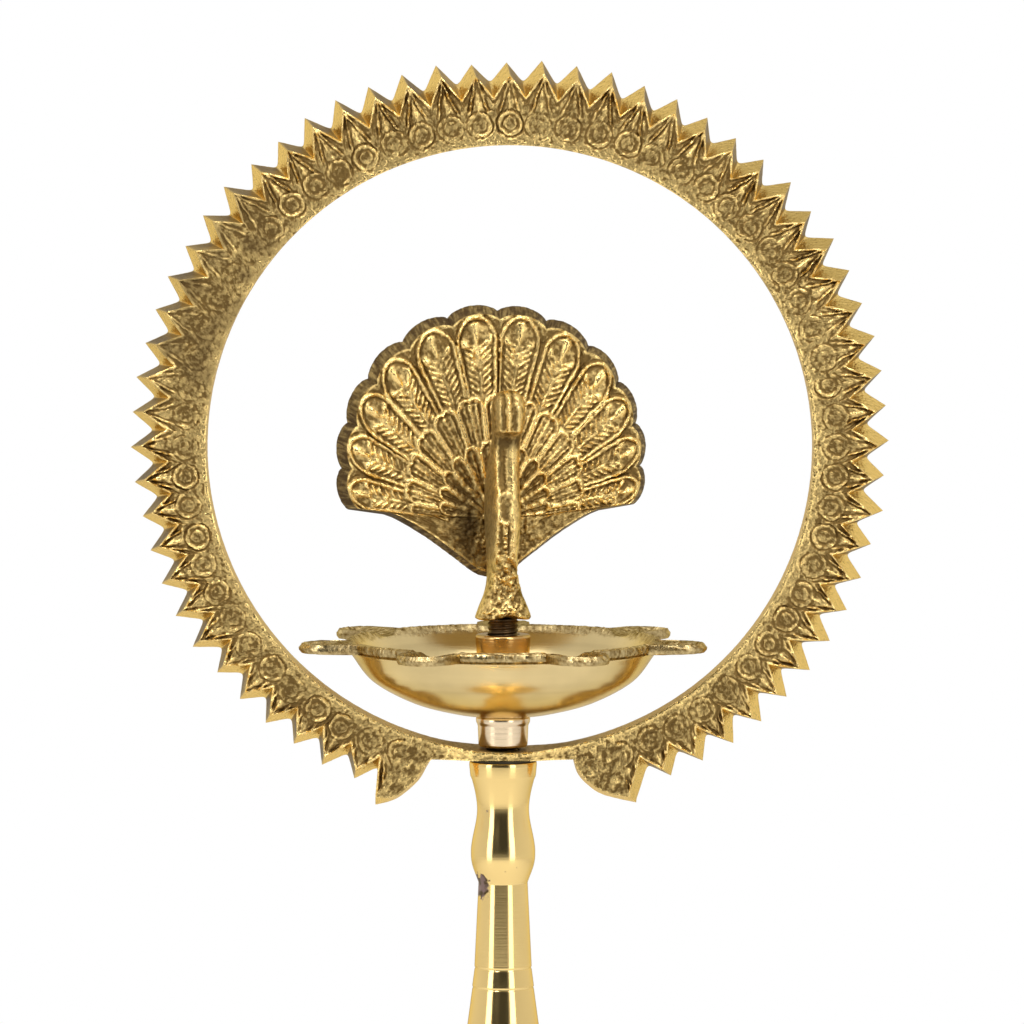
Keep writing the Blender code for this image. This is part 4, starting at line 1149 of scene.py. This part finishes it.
class PanOperator(LampOperator, bpy.types.Operator):
    """Add the oil pan with its seven spouts, and the collar and socket that hold it"""
    bl_idname = "mesh.oil_lamp_pan"
    bl_label = "Oil pan"

    def execute(self, context):
        finish = context.scene.lamp_finish
        pan = turned_brass(finish, "pan_brass", tuple(finish.lathe))
        skin("pan_spouted", pan_sheet(), pan, "pan", ["oil_pan"], 45)
        collar = bored(273.1, 281.3, [(7.0, 281.3), (7.3, 280.7), (7.2, 279.7), (6.8, 278.9),
                                      (6.6, 273.7), (6.2, 273.1)], radius=0.15 * MM)
        socket = bored(284.6, 303.3, [(7.0, 303.3), (7.4, 302.8), (6.8, 293.5), (6.6, 284.6)],
                       radius=0.2 * MM)
        for name, profile, colour, node in (
                ("collar_turned", collar, finish.collar, "pan_collar"),
                ("socket_turned", socket, finish.socket, "pan_socket")):
            brass = turned_brass(finish, name + "_brass", tuple(colour))
            turned_piece(context, name, profile, brass, "pan", node)
        return {"FINISHED"}


class BirdOperator(LampOperator, bpy.types.Operator):
    """Add the bird, lofted from oval sections, and its tail in three rows of feathers"""
    bl_idname = "mesh.oil_lamp_bird"
    bl_label = "Peacock"

    def execute(self, context):
        shape, finish = context.scene.lamp_shape, context.scene.lamp_finish
        for name, sheet, node in (("peacock_cast", bird_sheet(), "peacock"),
                                  ("tail_feathered", fan_sheet(shape), "tail_fan")):
            sheet["points"] = turn_about_axis(sheet["points"], FINIAL_TURN)
            skin(name, sheet, cast_brass(finish, name + "_brass", 0.17), "finial",
                 [node], 45)
        return {"FINISHED"}


class FixingsOperator(LampOperator, bpy.types.Operator):
    """Add the threaded rods, the nut and the washers"""
    bl_idname = "mesh.oil_lamp_fixings"
    bl_label = "Rods and fixings"

    def execute(self, context):
        finish = context.scene.lamp_finish
        iron = plain_metal("rod_iron", tuple(finish.iron), 0.42, 0.9)
        zinc = plain_metal("zinc", tuple(finish.steel), 0.34)
        for node, body in (("foot_rod", "stand"), ("stem_rod", "stem_rod"),
                           ("pan_rod", "pan_rod"), ("finial_rod", "finial_rod")):
            low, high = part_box(node)
            skin(node + "_threaded", thread_sheet(high.x, low.z, high.z), iron, body,
                 [node], 60)
        low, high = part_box("foot_nut")
        across = min(high.x - low.x, high.y - low.y)
        skin("foot_nut_hexagon", nut_sheet(low.z, high.z, across, ROD_HOLE), zinc, "stand",
             ["foot_nut"], 30)
        for node, name, body, slot, material in (
                ("foot_washer", "foot_washer_pressed", "stand", "zinc_steel", zinc),
                ("seat_washer", "seat_washer_soft", "upper_stem", "black_rubber",
                 plain_metal("black_rubber", (0.025, 0.022, 0.02), 0.6, 0.0))):
            low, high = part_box(node)
            outer, bottom, top = high.x / MM, low.z / MM, high.z / MM
            ring = bored(bottom, top, [(outer, top), (outer, bottom)], radius=0.12 * MM)
            turned_piece(context, name, ring, material, body, node)
        return {"FINISHED"}


class StageOperator(LampOperator, bpy.types.Operator):
    """Set out the floor, the soft lights and the camera"""
    bl_idname = "scene.oil_lamp_stage"
    bl_label = "Stage"

    def execute(self, context):
        stage = context.scene.lamp_stage
        self.floor(stage)
        self.surroundings(context.scene)
        for name, azimuth, elevation, distance, width, height, power in SOFTBOXES:
            self.softbox(name, math.radians(azimuth), math.radians(elevation), distance,
                         (width, height), power)
        self.camera(context.scene, stage)
        return {"FINISHED"}

    def floor(self, stage):
        """Round level floor, as a polar grid."""
        turn = np.linspace(0, math.tau, FLOOR_STEPS, endpoint=False)[None, :]
        radius = np.linspace(0, stage.floor_radius, FLOOR_RINGS)[:, None]
        points = around(radius, turn, -FLOOR_BELOW).reshape(-1, 3)
        mesh = bpy.data.meshes.new("floor")
        mesh.from_pydata(points.tolist(), [],
                         sheet_faces(FLOOR_RINGS, FLOOR_STEPS, False).tolist())
        mesh.shade_smooth()
        material = bpy.data.materials.new("floor_pale")
        material.use_nodes = True
        set_inputs(material.node_tree, material.node_tree.nodes["Principled BSDF"],
                   {"Base Color": (*stage.floor, 1.0), "Roughness": 0.8})
        mesh.materials.append(material)
        floor = add_object("floor", mesh)

    def surroundings(self, scene):
        """Pale room, brightest at the back corners and dark in front, for reflections and
        light. Seen directly it is plain white."""
        world = bpy.data.worlds.new("studio")
        scene.world = world
        world.use_nodes = True
        tree = world.node_tree
        tree.nodes.clear()
        view = tree.nodes.new("ShaderNodeTexCoord").outputs["Generated"]
        axes = add_node(tree, "ShaderNodeSeparateXYZ", {"Vector": view})
        azimuth = math_node(tree, "ARCTAN2", axes.outputs[0],
                            math_node(tree, "MULTIPLY", axes.outputs[1], -1.0))
        round_share = span(tree, azimuth, -math.pi, math.pi)
        ramp = tree.nodes.new("ShaderNodeValToRGB")
        tree.links.new(round_share, ramp.inputs[0])
        stops = ramp.color_ramp.elements
        while len(stops) < len(ROOM_LEVELS):
            stops.new(0.5)
        for stop, (degrees, level) in zip(stops, ROOM_LEVELS):
            stop.position = (degrees + 180) / 360
            stop.color = (level, level, level, 1.0)
        overhead = span(tree, axes.outputs[2], 0.45, 0.75)
        level = math_node(tree, "MAXIMUM", ramp.outputs[0],
                          math_node(tree, "MULTIPLY", overhead, CEILING_LEVEL))
        seen = add_node(tree, "ShaderNodeLightPath").outputs["Is Camera Ray"]
        level = math_node(tree, "MAXIMUM", level, seen)
        background = add_node(tree, "ShaderNodeBackground", {"Color": (1, 1, 1, 1),
                                                             "Strength": level})
        output = tree.nodes.new("ShaderNodeOutputWorld")
        tree.links.new(background.outputs[0], output.inputs[0])
        scene.view_settings.view_transform = "Standard"

    def softbox(self, name, azimuth, elevation, distance, size, power):
        """Rectangular soft light that faces the lamp from an azimuth off the front."""
        light = bpy.data.lights.new(name, "AREA")
        light.shape, light.size, light.size_y, light.energy = "RECTANGLE", *size, power
        away = np.array([math.sin(azimuth) * math.cos(elevation),
                         -math.cos(azimuth) * math.cos(elevation), math.sin(elevation)])
        item = add_object(name, light)
        item.location = TARGET + distance * away
        item.rotation_euler = (math.pi / 2 - elevation, 0.0, azimuth)

    def camera(self, scene, stage):
        """Long lens level with the front, tipped down by its elevation."""
        data = bpy.data.cameras.new("camera")
        data.type = "PERSP"
        data.sensor_width = 36.0
        data.lens = data.sensor_width * stage.distance / stage.field
        data.clip_end = 50.0
        camera = add_object("camera", data)
        away = np.array([0.0, -math.cos(stage.elevation), math.sin(stage.elevation)])
        camera.location = TARGET + stage.distance * away
        camera.rotation_euler = (math.pi / 2 - stage.elevation, 0.0, 0.0)
        scene.camera = camera


class LampPanel(bpy.types.Panel):
    """Sidebar panel with the lamp's pieces and settings"""
    bl_idname = "VIEW3D_PT_oil_lamp"
    bl_label = "Brass Oil Lamp"
    bl_space_type = "VIEW_3D"
    bl_region_type = "UI"
    bl_category = "Oil Lamp"

    def draw(self, context):
        for operator in OPERATORS:
            self.layout.operator(operator.bl_idname)
        for settings in (context.scene.lamp_finish, context.scene.lamp_shape,
                         context.scene.lamp_stage):
            box = self.layout.box()
            for key in settings.__annotations__:
                box.prop(settings, key)


SETTINGS = {"lamp_finish": LampFinish, "lamp_shape": LampShape, "lamp_stage": LampStage}
OPERATORS = (FootOperator, StemOperator, RingOperator, PanOperator, BirdOperator,
             FixingsOperator, StageOperator)


def register():
    """Register the settings, operators and panel."""
    for cls in (*SETTINGS.values(), *OPERATORS, LampPanel):
        bpy.utils.register_class(cls)
    for name, settings in SETTINGS.items():
        setattr(bpy.types.Scene, name, PointerProperty(type=settings))


def unregister():
    """Remove them again."""
    for name in SETTINGS:
        delattr(bpy.types.Scene, name)
    for cls in (LampPanel, *reversed(OPERATORS), *reversed(list(SETTINGS.values()))):
        bpy.utils.unregister_class(cls)


def main():
    """Build every piece and the stage."""
    register()
    bpy.ops.mesh.oil_lamp_foot()
    bpy.ops.mesh.oil_lamp_stem()
    bpy.ops.mesh.oil_lamp_ring()
    bpy.ops.mesh.oil_lamp_pan()
    bpy.ops.mesh.oil_lamp_bird()
    bpy.ops.mesh.oil_lamp_fixings()
    bpy.ops.scene.oil_lamp_stage()


if __name__ == "__main__":
    main()
